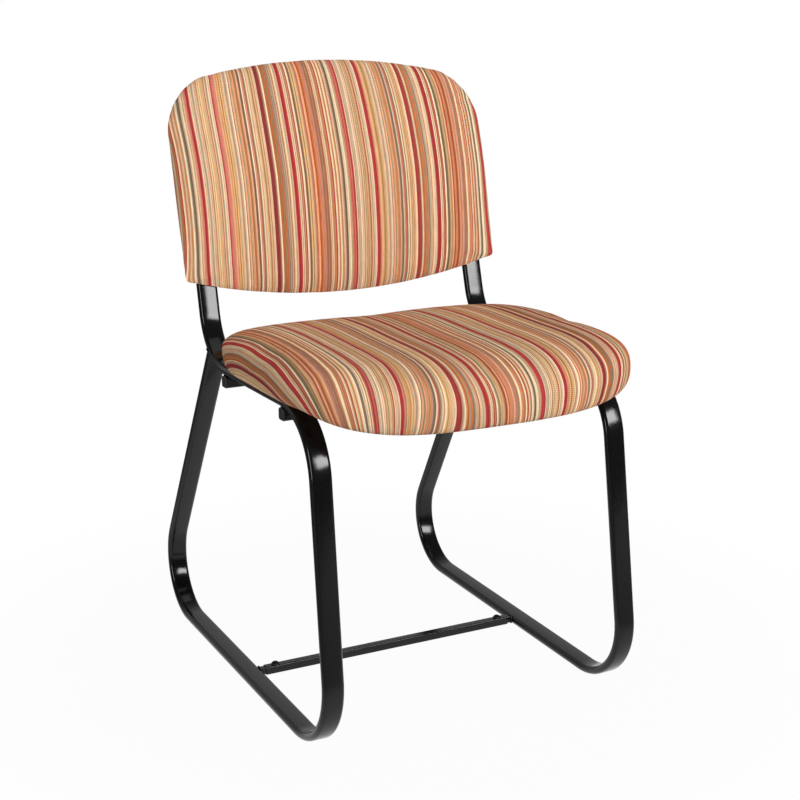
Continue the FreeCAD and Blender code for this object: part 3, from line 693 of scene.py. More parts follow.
def cloth_group() -> bpy.types.NodeTree:
    """Weave of the cover: fine ribs, single yarns that differ, and slubs.

    Returns:
        The group, with a Height, a Tone, a Bar, a Pick and a Streak output.
    """
    group, nodes = start_group(
        "yarn weave", {"Vector": None, "Yarn Width": 0.0011, "Pick Width": 0.0026},
        {"Height": "NodeSocketFloat", "Tone": "NodeSocketFloat", "Bar": "NodeSocketFloat",
         "Pick": "NodeSocketFloat", "Streak": "NodeSocketFloat"})
    given = nodes.add("NodeGroupInput")
    parts = nodes.add("ShaderNodeSeparateXYZ", {"Vector": given.outputs["Vector"]})
    across, along = parts.outputs["X"], parts.outputs["Y"]
    yarn = nodes.math("DIVIDE", across, given.outputs["Yarn Width"])
    shot = nodes.math("DIVIDE", along, given.outputs["Pick Width"])
    rib = nodes.math("SINE", nodes.math("MULTIPLY", yarn, 2 * math.pi))
    bar = nodes.math("SINE", nodes.math("MULTIPLY", shot, 2 * math.pi))
    height = nodes.math("ADD", nodes.math("MULTIPLY", rib, RIB_SHARE),
                        nodes.math("MULTIPLY", bar, BAR_SHARE))
    number = nodes.math("FLOOR", nodes.math("MULTIPLY", yarn, YARNS_PER_RIB))
    single = nodes.add("ShaderNodeTexWhiteNoise", {"W": number}, noise_dimensions="1D")
    slubs = nodes.math("MULTIPLY", along, SLUBS_PER_METRE)
    stretched = nodes.add("ShaderNodeCombineXYZ", {"X": number, "Y": slubs})
    slub = nodes.add("ShaderNodeTexNoise", {"Vector": stretched.outputs["Vector"],
                                            "Scale": 1.0, "Detail": 2.0}, noise_dimensions="2D")
    streak = nodes.math("FLOOR", nodes.math("MULTIPLY", yarn, STREAKS_PER_RIB))
    wide = nodes.add("ShaderNodeTexWhiteNoise", {"W": streak}, noise_dimensions="1D")
    out = nodes.add("NodeGroupOutput")
    nodes.feed(out, "Height", height)
    nodes.feed(out, "Tone", single.outputs["Value"])
    nodes.feed(out, "Bar", bar)
    nodes.feed(out, "Pick", slub.outputs["Fac"])
    nodes.feed(out, "Streak", wide.outputs["Value"])
    return group


CLOTH = cloth_group()


@dataclass(frozen=True)
class StripedCloth(Finish):
    """Woven cover cloth with a warp stripe that repeats across the width."""

    name: str
    shift: float
    repeat: float
    # Random tone of the single yarns; the seat keeps this darker range as painted shade, and
    # the back's copy is given a lighter one
    tone: tuple[float, float] = (0.68, 1.18)
    slub_tone: tuple[float, float] = (0.88, 1.08)
    bar_tone: tuple[float, float] = (0.90, 1.05)
    pale_from: float = 0.86
    warm_to: float = 0.10
    dull_at: tuple[float, float] = (0.5, 0.03)
    streak_shares: tuple[float, float, float] = (0.22, 0.4, 0.2)
    rib_height: float = 0.0004
    rib_strength: float = 0.5
    whole_repeats: int = 10

    def make(self) -> bpy.types.Material:
        """Build the material.

        Returns:
            The finished material, which reads the cloth's own flat lay in metres.
        """
        material, nodes, shader = self.start(self.name)
        lay = nodes.add("ShaderNodeUVMap", uv_map=FLAT_LAY).outputs["UV"]
        weave = nodes.add("ShaderNodeGroup", {"Vector": lay}, node_tree=CLOTH).outputs
        across = nodes.add("ShaderNodeSeparateXYZ", {"Vector": lay}).outputs["X"]
        moved = nodes.math("ADD", across, self.shift + self.whole_repeats * self.repeat)
        place = nodes.math("FRACT", nodes.math("DIVIDE", moved, self.repeat))
        colour = self.streaked(nodes, self.stripes(nodes, place), weave["Streak"])
        for value, source, target in ((weave["Tone"], (0.0, 1.0), self.tone),
                                      (weave["Pick"], CLOUD_RANGE, self.slub_tone),
                                      (weave["Bar"], (-1.0, 1.0), self.bar_tone)):
            shade_of_grey = self.grey(nodes, nodes.span(value, source, target))
            colour = nodes.blend(1.0, colour, shade_of_grey, "MULTIPLY")
        nodes.feed(shader, "Base Color", colour)
        nodes.bump(shader, weave["Height"], self.rib_height, self.rib_strength)
        shader.inputs["Roughness"].default_value = 0.88
        shader.inputs["Specular IOR Level"].default_value = 0.1
        shader.inputs["Sheen Weight"].default_value = 0.05
        shader.inputs["Sheen Roughness"].default_value = 0.5
        shader.inputs["Sheen Tint"].default_value = Yarn.AMBER.value
        return material

    def streaked(self, nodes: Nodes, colour: bpy.types.NodeSocket,
                 streak: bpy.types.NodeSocket) -> bpy.types.NodeSocket:
        """Let a few single yarns run paler, warmer or duller.

        Args:
            nodes: Node helper of the material.
            colour: The stripe colour.
            streak: Random value of each yarn, 0 to 1.

        Returns:
            The colour with its streaks.
        """
        chosen = (nodes.math("GREATER_THAN", streak, self.pale_from),
                  nodes.math("LESS_THAN", streak, self.warm_to),
                  nodes.math("COMPARE", streak, *self.dull_at))
        yarns = (Yarn.CREAM, Yarn.RUST, Yarn.GREY)
        for mask, share, yarn in zip(chosen, self.streak_shares, yarns):
            colour = nodes.blend(nodes.math("MULTIPLY", mask, share), colour, yarn.value)
        return colour

    def grey(self, nodes: Nodes, value: bpy.types.NodeSocket) -> bpy.types.NodeSocket:
        """Turn a value into a grey colour.

        Args:
            nodes: Node helper of the material.
            value: The value.

        Returns:
            The grey as a colour socket.
        """
        node = nodes.add("ShaderNodeCombineColor", {0: value, 1: value, 2: value})
        return node.outputs[0]

    def stripes(self, nodes: Nodes, place: bpy.types.NodeSocket) -> bpy.types.NodeSocket:
        """Lay the warp out over as many ramps as its stripes need.

        Args:
            nodes: Node helper of the material.
            place: Place within the repeat, 0 to 1.

        Returns:
            The stripe colour.
        """
        warp = pinned_warp()
        total = sum(width for _, width in warp)
        starts, reach = [], 0.0
        for _, width in warp:
            starts.append(reach / total)
            reach += width
        colour = None
        for first in range(0, len(warp), RAMP_STOPS):
            chosen = range(first, min(first + RAMP_STOPS, len(warp)))
            ramp = nodes.ramp(place, [(starts[index], warp[index][0].value)
                                      for index in chosen], "CONSTANT")
            if colour is None:
                colour = ramp
            else:
                later = nodes.math("GREATER_THAN", place, starts[first])
                colour = nodes.blend(later, colour, ramp)
        return colour


# Bent side frames

@dataclass
class SideFrame:
    """One bent oval tube: post, seat rail, front leg, runner and rear leg."""

    layout: Layout
    post_length: float = 0.290
    radii: tuple[float, float, float, float] = (0.088, 0.093, 0.092, 0.081)
    ring: int = 48
    bend_steps: int = 28
    weld_radius: float = 0.0017
    weld_spread: float = 1.03

    def __post_init__(self) -> None:
        """Work out the tube's path."""
        layout = self.layout
        post_top = layout.back_place @ Vector((0, 0, self.post_length))
        floor = layout.runner_height
        self.corners = [post_top, Vector((0, *layout.rear_corner)),
                        Vector((0, *layout.front_corner)),
                        Vector((0, layout.floor_front, floor)),
                        Vector((0, layout.floor_rear, floor)),
                        Vector((0, *layout.leg_aim))]
        self.path = self.follow()

    def follow(self) -> list[tuple]:
        """Divide the path into straight runs and bends.

        Returns:
            Tuples of the kind, the start, the direction, the length or angle,
            the bend's centre and the side that it turns to.
        """
        steps = []
        start = self.corners[0]
        for index, radius in enumerate(self.radii, start=1):
            ahead = (self.corners[index] - self.corners[index - 1]).normalized()
            onward = (self.corners[index + 1] - self.corners[index]).normalized()
            turn = ahead.angle(onward)
            setback = radius * math.tan(turn / 2)
            bend_start = self.corners[index] - ahead * setback
            side = 1 if ahead.cross(onward).x > 0 else -1
            centre = bend_start + Vector((0, -ahead.z, ahead.y)) * (side * radius)
            steps.append(("run", start, ahead, (bend_start - start).length, None, 0))
            steps.append(("bend", bend_start, ahead, turn, centre, side))
            start = self.corners[index] + onward * setback
        last = (self.corners[-1] - start).normalized()
        steps.append(("run", start, last, self.leg_reach(start, last, steps[1][4]), None, 0))
        return steps

    def leg_reach(self, start: Vector, ahead: Vector, centre: Vector,
                  beyond: float = 0.0) -> float:
        """Length of the rear leg up to the rear seat bend.

        Args:
            start: Lower end of the leg's straight part.
            ahead: Direction of the leg.
            centre: Centre of the rear seat bend.
            beyond: How far outside the bend's centreline the reach ends.

        Returns:
            The length.
        """
        level = (centre - start).dot(ahead)
        aside = (centre - (start + ahead * level)).length
        radius = self.radii[0] + beyond
        return level - math.sqrt(radius ** 2 - aside ** 2)

    def oval(self, name: str) -> bpy.types.Object:
        """Add the tube's oval outline, its width along X.

        Args:
            name: Name of the piece.

        Returns:
            The outline, ready to be swept.
        """
        deselect()
        bpy.ops.mesh.primitive_circle_add(vertices=self.ring,
                                          radius=self.layout.tube_thickness / 2)
        tube = new_piece(name)
        edit(tube)
        for side in (1, -1):
            pick(tube, lambda place: place.x * side > 0.0001)
            bpy.ops.transform.translate(value=(side * self.layout.tube_flat, 0, 0))
        leave_edit()
        return tube

    def sweep(self, name: str, side: Side) -> bpy.types.Object:
        """Sweep the oval along the path, run by run and bend by bend.

        Args:
            name: Name of the piece.
            side: Side frame to make.

        Returns:
            The closed tube in its place.
        """
        tube = self.oval(name)
        _, start, ahead, _, _, _ = self.path[0]
        tube.rotation_euler = (math.atan2(-ahead.y, ahead.z), 0, 0)
        tube.location = start
        apply_place(tube)
        edit(tube)
        for kind, _, ahead, amount, centre, turn_side in self.path:
            if kind == "run":
                bpy.ops.mesh.extrude_region_move(
                    TRANSFORM_OT_translate={"value": tuple(ahead * amount)})
            else:
                bpy.ops.mesh.spin(steps=self.bend_steps, angle=amount * turn_side * SPIN_SIGN,
                                  center=tuple(centre), axis=(1, 0, 0))
        bpy.ops.mesh.select_all(action="SELECT")
        bpy.ops.mesh.fill_holes(sides=0)
        leave_edit()
        outward(tube)
        self.layout.lean_over(tube, side)
        shade(tube)
        return tube

    def leg_weld(self, side: Side) -> bpy.types.Object:
        """Weld bead where the rear leg meets the seat bend.

        Args:
            side: Side frame that it is on.

        Returns:
            The bead in its place.
        """
        ring = self.oval(f"leg_weld_{side.name.lower()}")
        _, start, ahead, _, _, _ = self.path[-1]
        centre = self.path[1][4]
        turn = Matrix.Rotation(math.atan2(-ahead.y, ahead.z), 3, "X")
        half = self.layout.tube_thickness / 2
        for vertex in ring.data.vertices:
            foot = start + turn @ (vertex.co * self.weld_spread)
            past = max(0.0, abs(foot.x) - self.layout.tube_flat)
            beyond = math.sqrt(max(0.0, half ** 2 - past ** 2))
            reach = self.leg_reach(Vector((0, foot.y, foot.z)), ahead, centre, beyond)
            vertex.co = foot + ahead * reach
        bead = weld_bead(ring, self.weld_radius, True)
        self.layout.lean_over(bead, side)
        return bead


# Ripples of a weld bead: mean size, wave, its step, roughness and its scale
BEAD_MEAN = 0.86
BEAD_WAVE = 0.16
BEAD_STEP = 1.9
BEAD_ROUGH = 0.08
BEAD_SCALE = 260


def weld_bead(line: bpy.types.Object, radius: float, closed: bool) -> bpy.types.Object:
    """Turn a line of edges into a rippled weld bead.

    Args:
        line: Mesh whose edges follow the joint.
        radius: Radius of the bead.
        closed: True where the line is a ring.

    Returns:
        The bead as a closed mesh.
    """
    name = line.name
    edit(line)
    bpy.ops.mesh.subdivide(number_cuts=2)
    leave_edit()
    bpy.ops.object.convert(target="CURVE")
    bead = bpy.context.view_layer.objects.active
    bead.data.bevel_depth = radius
    bead.data.bevel_resolution = 3
    bead.data.use_fill_caps = not closed
    for spline in bead.data.splines:
        for index, point in enumerate(spline.points):
            rough = BEAD_ROUGH * noise.noise(point.co.to_3d() * BEAD_SCALE)
            point.radius = BEAD_MEAN + BEAD_WAVE * math.sin(index * BEAD_STEP) + rough
    bpy.ops.object.convert(target="MESH")
    bead = new_piece(name)
    outward(bead)
    shade(bead, 60)
    return bead


@dataclass
class FrameJoints:
    """Weld beads of the cross rails and of the crossbar's spigots."""

    layout: Layout
    rail_places: tuple[float, float] = (0.073, 0.276)
    rail_size: float = 0.016
    weld_gap: float = 0.0004
    weld_depth: float = 0.0066
    weld_length: float = 0.022
    crossbar_y: float = 0.0017
    crossbar_middle: float = 0.0085
    spigot_size: float = 0.0094
    spigot_round: float = 0.56
    spigot_square: float = 1.3
    spigot_gap: float = 0.0005
    bulge: float = 0.0022
    bulge_from: float = 0.6
    clear: float = 0.0003
    bead: float = 0.0016

    def rail_welds(self, side: Side) -> list[bpy.types.Object]:
        """Fillet welds along both faces of each cross rail, under a seat rail.

        Args:
            side: Side frame that they are on.

        Returns:
            The beads.
        """
        beads = []
        for number, place in enumerate(self.rail_places):
            for edge in (-1, 1):
                along = -place + edge * (self.rail_size / 2 + self.weld_gap)
                corner = self.layout.seat_place @ Vector((0, along, -self.weld_depth))
                offset = side.value * self.layout.frame_offset(corner.z)
                deselect()
                bpy.ops.mesh.primitive_grid_add(x_subdivisions=9, y_subdivisions=1, size=1)
                line = new_piece(f"rail_weld_{number}_{edge}_{side.name.lower()}")
                edit(line)
                pick(line, lambda spot: spot.y > 0)
                bpy.ops.mesh.delete(type="VERT")
                leave_edit()
                for vertex in line.data.vertices:
                    across = offset + vertex.co.x * self.weld_length
                    vertex.co = Vector((across, corner.y, corner.z))
                beads.append(weld_bead(line, self.bead, False))
        return beads

    def spigot_weld(self, side: Side) -> bpy.types.Object:
        """Bead round a spigot where it meets the runner.

        Args:
            side: Runner that it is on.

        Returns:
            The bead.
        """
        inner = self.layout.frame_offset(self.crossbar_middle) - self.layout.tube_width / 2
        deselect()
        radius = self.spigot_size * self.spigot_round
        bpy.ops.mesh.primitive_circle_add(vertices=24, radius=radius)
        ring = new_piece(f"spigot_weld_{side.name.lower()}")
        reach = self.spigot_size / 2 + self.spigot_gap
        for vertex in ring.data.vertices:
            across = max(-reach, min(reach, vertex.co.x * self.spigot_square))
            up = max(-reach, min(reach, vertex.co.y * self.spigot_square))
            bulge = self.bulge * max(0.0, abs(up) / reach - self.bulge_from)
            vertex.co = Vector((side.value * (inner + bulge + self.clear),
                                self.crossbar_y + across, self.crossbar_middle + up))
        return weld_bead(ring, self.bead, True)


# Padded forms

def smooth(share: np.ndarray) -> np.ndarray:
    """Ease a share from 0 to 1 in and out."""
    return share ** 2 * (3 - 2 * share)


@dataclass
class PaddedForm:
    """A covered pad over a board, as a grid of cells wrapped over its edge.

    P runs across, Q along and depth outwards from the board. A subclass gives
    the outline, the crowned face, the side and the back of the cover.
    """

    layout: Layout
    name: str
    cells: int = 72
    side_rings: int = 8
    middle: tuple[float, float] = (0.0, 0.0)
    crown_power: float = 3.3
    crown_run: tuple[float, float] = (0.20, 0.031)
    hem: tuple[float, float, float] = (0.021, 0.033, 0.0335)
    board_depth: float = 0.003
    pressure: float = 3.0
    frames: int = 20
    cap: float = 0.003
    matched_share: float = 0.25

    def outline(self, a: np.ndarray, b: np.ndarray) -> tuple[np.ndarray, np.ndarray]:
        """P and Q of the outline in a direction of the square grid."""
        raise NotImplementedError

    def face(self, p: np.ndarray, q: np.ndarray, share: np.ndarray) -> np.ndarray:
        """Depth of the crowned face."""
        raise NotImplementedError

    def side(self, p: np.ndarray, q: np.ndarray, turn: float) -> tuple[float, np.ndarray]:
        """Inset and depth of the side at a turn, 0 at its widest and 1 at the back."""
        raise NotImplementedError

    def back(self, p: np.ndarray, q: np.ndarray) -> np.ndarray:
        """Depth of the cover's back face."""
        raise NotImplementedError

    def place(self) -> Matrix:
        """Place of the board's own axes in the chair's frame."""
        raise NotImplementedError

    def own_axes(self, p: np.ndarray, q: np.ndarray,
                 depth: np.ndarray) -> tuple[np.ndarray, np.ndarray, np.ndarray]:
        """P, Q and depth along the board's own X, Y and Z."""
        raise NotImplementedError

    def to_chair(self, p: np.ndarray, q: np.ndarray, depth: np.ndarray) -> np.ndarray:
        """Turn P, Q and depth into places in the chair's frame.

        Args:
            p: Places across.
            q: Places along.
            depth: Depths from the board.

        Returns:
            One row of X, Y and Z for each.
        """
        local = np.stack([*self.own_axes(p, q, depth), np.ones(len(p))])
        return (np.array(self.place()) @ local).T[:, :3]

    def directions(self, s: np.ndarray, t: np.ndarray) -> tuple[np.ndarray, np.ndarray]:
        """Turn grid places into directions on the edge of the square.

        Args:
            s: First grid place, -1 to 1.
            t: Second grid place, -1 to 1.

        Returns:
            The two direction arrays; the middle itself points along the first.
        """
        step = np.maximum(abs(s), abs(t))
        safe = np.where(step == 0, 1.0, step)
        return np.where(step == 0, 1.0, s / safe), t / safe

    def spread(self, step: np.ndarray) -> np.ndarray:
        """Share of the outline reached at each grid step, even along the crown.

        Args:
            step: Steps from the middle, 0 to 1.

        Returns:
            Shares of the way out, 0 to 1.
        """
        turn = np.linspace(0, math.pi / 2, CURVE_STEPS)
        out = np.sin(turn) ** (2 / self.crown_power)
        rise = np.cos(turn) ** (2 / self.crown_power)
        run = np.hypot(np.diff(out) * self.crown_run[0], np.diff(rise) * self.crown_run[1])
        length = np.concatenate([[0.0], np.cumsum(run)])
        return np.interp(step, length / length[-1], out)

    def loop(self) -> tuple[np.ndarray, np.ndarray]:
        """Grid directions round the square's edge, one turn.

        Returns:
            The two direction arrays.
        """
        line = np.linspace(-1, 1, self.cells + 1)[:-1]
        one = np.ones(self.cells)
        a = np.concatenate([line, one, -line, -one])
        b = np.concatenate([-one, line, one, -line])
        return a, b

    def edge_index(self) -> np.ndarray:
        """Numbers of the grid's edge vertices in the order of the loop.

        Returns:
            The vertex numbers.
        """
        n = self.cells
        steps = np.arange(n)
        return np.concatenate([steps, n + steps * (n + 1), n * (n + 1) + n - steps,
                               (n - steps) * (n + 1)])

    def shape(self) -> tuple[np.ndarray, list[tuple[int, ...]], int]:
        """Places and faces of the closed form.

        Returns:
            The places, the faces, and how many faces the cloth covers.
        """
        n = self.cells
        line = np.linspace(-1, 1, n + 1)
        s, t = (grid.ravel() for grid in np.meshgrid(line, line))
        step = np.maximum(abs(s), abs(t))
        edge_p, edge_q = self.outline(*self.directions(s, t))
        share = self.spread(step)
        p = self.middle[0] + share * (edge_p - self.middle[0])
        q = self.middle[1] + share * (edge_q - self.middle[1])
        places = [self.to_chair(p, q, self.face(p, q, share))]
        faces = [(r * (n + 1) + c, r * (n + 1) + c + 1, (r + 1) * (n + 1) + c + 1,
                  (r + 1) * (n + 1) + c) for r in range(n) for c in range(n)]
        loop_a, loop_b = self.loop()
        rim_p, rim_q = self.outline(loop_a, loop_b)
        along_p = np.roll(rim_p, -1) - np.roll(rim_p, 1)
        along_q = np.roll(rim_q, -1) - np.roll(rim_q, 1)
        length = np.hypot(along_p, along_q)
        in_p, in_q = -along_q / length, along_p / length
        rings = [self.side(rim_p, rim_q, k / self.side_rings)
                 for k in range(1, self.side_rings + 1)]
        last_inset, last_depth = rings[-1]
        self.add_hem(rings, rim_p, rim_q, in_p, in_q, last_inset, last_depth)
        above = self.edge_index()
        count = len(places[0])
        size = 4 * n
        for inset, depth in rings:
            ring = np.arange(count, count + size)
            places.append(self.to_chair(rim_p + in_p * inset, rim_q + in_q * inset, depth))
            faces += [(above[i], ring[i], ring[(i + 1) % size], above[(i + 1) % size])
                      for i in range(size)]
            above = ring
            count += size
        covered = len(faces) - size
        inner = self.hem[-1]
        cap_p, cap_q = rim_p + in_p * inner, rim_q + in_q * inner
        number = np.full((n + 1) ** 2, -1)
        number[self.edge_index()] = above
        inside = np.flatnonzero(number < 0)
        number[inside] = np.arange(count, count + len(inside))
        ways = self.directions(s[inside], t[inside])
        cap_p_full, cap_q_full = self.cap_outline(*ways, cap_p, cap_q, loop_a, loop_b)
        inner_p = self.middle[0] + step[inside] * (cap_p_full - self.middle[0])
        inner_q = self.middle[1] + step[inside] * (cap_q_full - self.middle[1])
        places.append(self.to_chair(inner_p, inner_q,
                                    self.back(inner_p, inner_q) + self.board_depth))
        faces += [(number[r * (n + 1) + c], number[(r + 1) * (n + 1) + c],
                   number[(r + 1) * (n + 1) + c + 1], number[r * (n + 1) + c + 1])
                  for r in range(n) for c in range(n)]
        faces = [tuple(int(v) for v in face) for face in faces]
        return np.concatenate(places), faces, covered

    def cap_outline(self, a: np.ndarray, b: np.ndarray, cap_p: np.ndarray,
                    cap_q: np.ndarray, loop_a: np.ndarray,
                    loop_b: np.ndarray) -> tuple[np.ndarray, np.ndarray]:
        """Inner edge of the hem in the directions of the grid's inner vertices.

        Args:
            a: First direction of each vertex.
            b: Second direction of each vertex.
            cap_p: P of the hem's inner edge round the loop.
            cap_q: Q of the hem's inner edge round the loop.
            loop_a: First direction round the loop.
            loop_b: Second direction round the loop.

        Returns:
            P and Q at each vertex.
        """
        turn = np.unwrap(np.arctan2(loop_b, loop_a))
        wanted = np.arctan2(b, a)
        wanted = np.where(wanted < turn[0], wanted + 2 * math.pi, wanted)
        wanted = np.where(wanted >= turn[0] + 2 * math.pi, wanted - 2 * math.pi, wanted)
        closed = np.append(turn, turn[0] + 2 * math.pi)
        return (np.interp(wanted, closed, np.append(cap_p, cap_p[0])),
                np.interp(wanted, closed, np.append(cap_q, cap_q[0])))

    def add_hem(self, rings: list, rim_p: np.ndarray, rim_q: np.ndarray,
                in_p: np.ndarray, in_q: np.ndarray, inset: float,
                depth: np.ndarray) -> None:
        """Add the turned-in hem and the step up into the board.

        Args:
            rings: The rings so far, as inset and depth.
            rim_p: P of the outline.
            rim_q: Q of the outline.
            in_p: P of the inward direction.
            in_q: Q of the inward direction.
            inset: Inset of the last side ring.
            depth: Depth of the last side ring.
        """
        middle = self.hem[0]
        level = self.back(rim_p + in_p * middle, rim_q + in_q * middle)
        rings.append((middle, (level + depth) / 2 if inset < middle else level))
        flat = self.hem[1]
        rings.append((flat, self.back(rim_p + in_p * flat, rim_q + in_q * flat)))
        inner = self.hem[2]
        rings.append((inner, self.back(rim_p + in_p * inner, rim_q + in_q * inner)
                      + self.board_depth))

    def lay_flat(self, piece: bpy.types.Object, covered: int) -> None:
        """Give the cover its flat lay in metres, with the warp along Q.

        Args:
            piece: The padded piece, before its cloth is settled.
            covered: How many of its first faces the cloth covers.
        """
        piece.data.uv_layers.new(name=FLAT_LAY)
        edit(piece)
        mesh = bmesh.from_edit_mesh(piece.data)
        mesh.faces.ensure_lookup_table()
        for face in mesh.faces:
            face.select = face.index < covered
        bmesh.update_edit_mesh(piece.data)
        bpy.ops.uv.unwrap(method="MINIMUM_STRETCH", fill_holes=False, margin=0.0)
        leave_edit()
        count = (self.cells + 1) ** 2
        loops = len(piece.data.loops)
        lay = np.zeros(loops * 2)
        piece.data.uv_layers[FLAT_LAY].uv.foreach_get("vector", lay)
        lay = lay.reshape(-1, 2)
        owner = np.zeros(loops, dtype=int)
        piece.data.loops.foreach_get("vertex_index", owner)
        chosen = self.flat_middle(owner, count)
        flat = self.flat_target(owner[chosen])
        lay = self.drawn(self.match(lay, lay[chosen], flat))
        piece.data.uv_layers[FLAT_LAY].uv.foreach_set("vector", lay.ravel())

    def drawn(self, lay: np.ndarray) -> np.ndarray:
        """The flat lay as the cover is drawn over its edges; even here."""
        return lay

    def flat_middle(self, owner: np.ndarray, count: int) -> np.ndarray:
        """Loops of the vertices in the middle of the face.

        Args:
            owner: Vertex number of each loop.
            count: How many vertices the face grid has.

        Returns:
            The loop numbers.
        """
        n = self.cells
        row, column = owner // (n + 1), owner % (n + 1)
        reach = n * self.matched_share
        near = (abs(row - n / 2) < reach) & (abs(column - n / 2) < reach)
        return np.flatnonzero((owner < count) & near)

    def flat_target(self, owner: np.ndarray) -> np.ndarray:
        """P and Q of face vertices, which the flat lay is matched to.

        Args:
            owner: Vertex numbers.

        Returns:
            One row of P and Q for each.
        """
        n = self.cells
        s = -1 + 2 * (owner % (n + 1)) / n
        t = -1 + 2 * (owner // (n + 1)) / n
        step = np.maximum(abs(s), abs(t))
        edge_p, edge_q = self.outline(*self.directions(s, t))
        share = self.spread(step)
        return np.stack([self.middle[0] + share * (edge_p - self.middle[0]),
                         self.middle[1] + share * (edge_q - self.middle[1])], axis=1)

    def match(self, lay: np.ndarray, source: np.ndarray, target: np.ndarray) -> np.ndarray:
        """Turn, scale and move the flat lay onto P and Q.

        Args:
            lay: The whole flat lay.
            source: Flat places of the chosen loops.
            target: P and Q of the same loops.

        Returns:
            The matched flat lay.
        """
        best, least = lay, math.inf
        for flip in (1.0, -1.0):
            start = source[:, 0] + 1j * flip * source[:, 1]
            goal = target[:, 0] + 1j * target[:, 1]
            start_mean, goal_mean = start.mean(), goal.mean()
            factor = (np.vdot(start - start_mean, goal - goal_mean)
                      / np.vdot(start - start_mean, start - start_mean))
            miss = abs(factor * (start - start_mean) - (goal - goal_mean)).mean()
            if miss < least:
                least = miss
                every = factor * (lay[:, 0] + 1j * flip * lay[:, 1] - start_mean) + goal_mean
                best = np.stack([every.real, every.imag], axis=1)
        log.info("%s: flat lay matched within %.2f mm", self.name, least / MM)
        return best

    def settle(self, piece: bpy.types.Object) -> None:
        """Let the cover swell over its padding and cap how far it moves.

        Args:
            piece: The padded piece.
        """
        count = (self.cells + 1) ** 2
        total = len(piece.data.vertices)
        held = piece.vertex_groups.new(name="held")
        first_held = count + 4 * self.cells * self.side_rings
        held.add(list(range(first_held, total)), 1.0, "REPLACE")
        rest = np.zeros(total * 3)
        piece.data.vertices.foreach_get("co", rest)
        make_active(piece)
        cloth = piece.modifiers.new("cover cloth", "CLOTH")
        settings = cloth.settings
        settings.quality = 5
        settings.mass = 0.3
        settings.tension_stiffness = 22
        settings.compression_stiffness = 22
        settings.shear_stiffness = 8
        settings.bending_stiffness = 0.6
        settings.vertex_group_mass = "held"
        settings.use_pressure = True
        settings.uniform_pressure_force = self.pressure
        settings.effector_weights.gravity = 0.0
        cloth.point_cache.frame_start = 1
        cloth.point_cache.frame_end = self.frames
        scene = bpy.context.scene
        for step in range(1, self.frames + 1):
            scene.frame_set(step)
        seen = piece.evaluated_get(bpy.context.evaluated_depsgraph_get()).data
        moved = np.zeros(total * 3)
        seen.vertices.foreach_get("co", moved)
        piece.modifiers.remove(cloth)
        piece.vertex_groups.remove(held)
        scene.frame_set(1)
        shift = (moved - rest).reshape(-1, 3)
        length = np.linalg.norm(shift, axis=1)
        share = np.minimum(1.0, self.cap / np.maximum(length, 1e-9))
        log.info("%s: cloth moved %.1f mm at most", self.name, length.max() / MM)
        piece.data.vertices.foreach_set("co", rest + (shift * share[:, None]).ravel())
        piece.data.update()

    def build(self) -> bpy.types.Object:
        """Make the padded piece.

        Returns:
            The finished piece, undressed.
        """
        places, faces, covered = self.shape()
        mesh = bpy.data.meshes.new(self.name)
        mesh.from_pydata(places.tolist(), [], faces)
        mesh.validate()
        piece = bpy.data.objects.new(self.name, mesh)
        bpy.context.scene.collection.objects.link(piece)
        self.lay_flat(piece, covered)
        self.settle(piece)
        apply_modifier(piece, "SUBSURF", levels=1, render_levels=1)
        shade(piece, 60)
        return piece


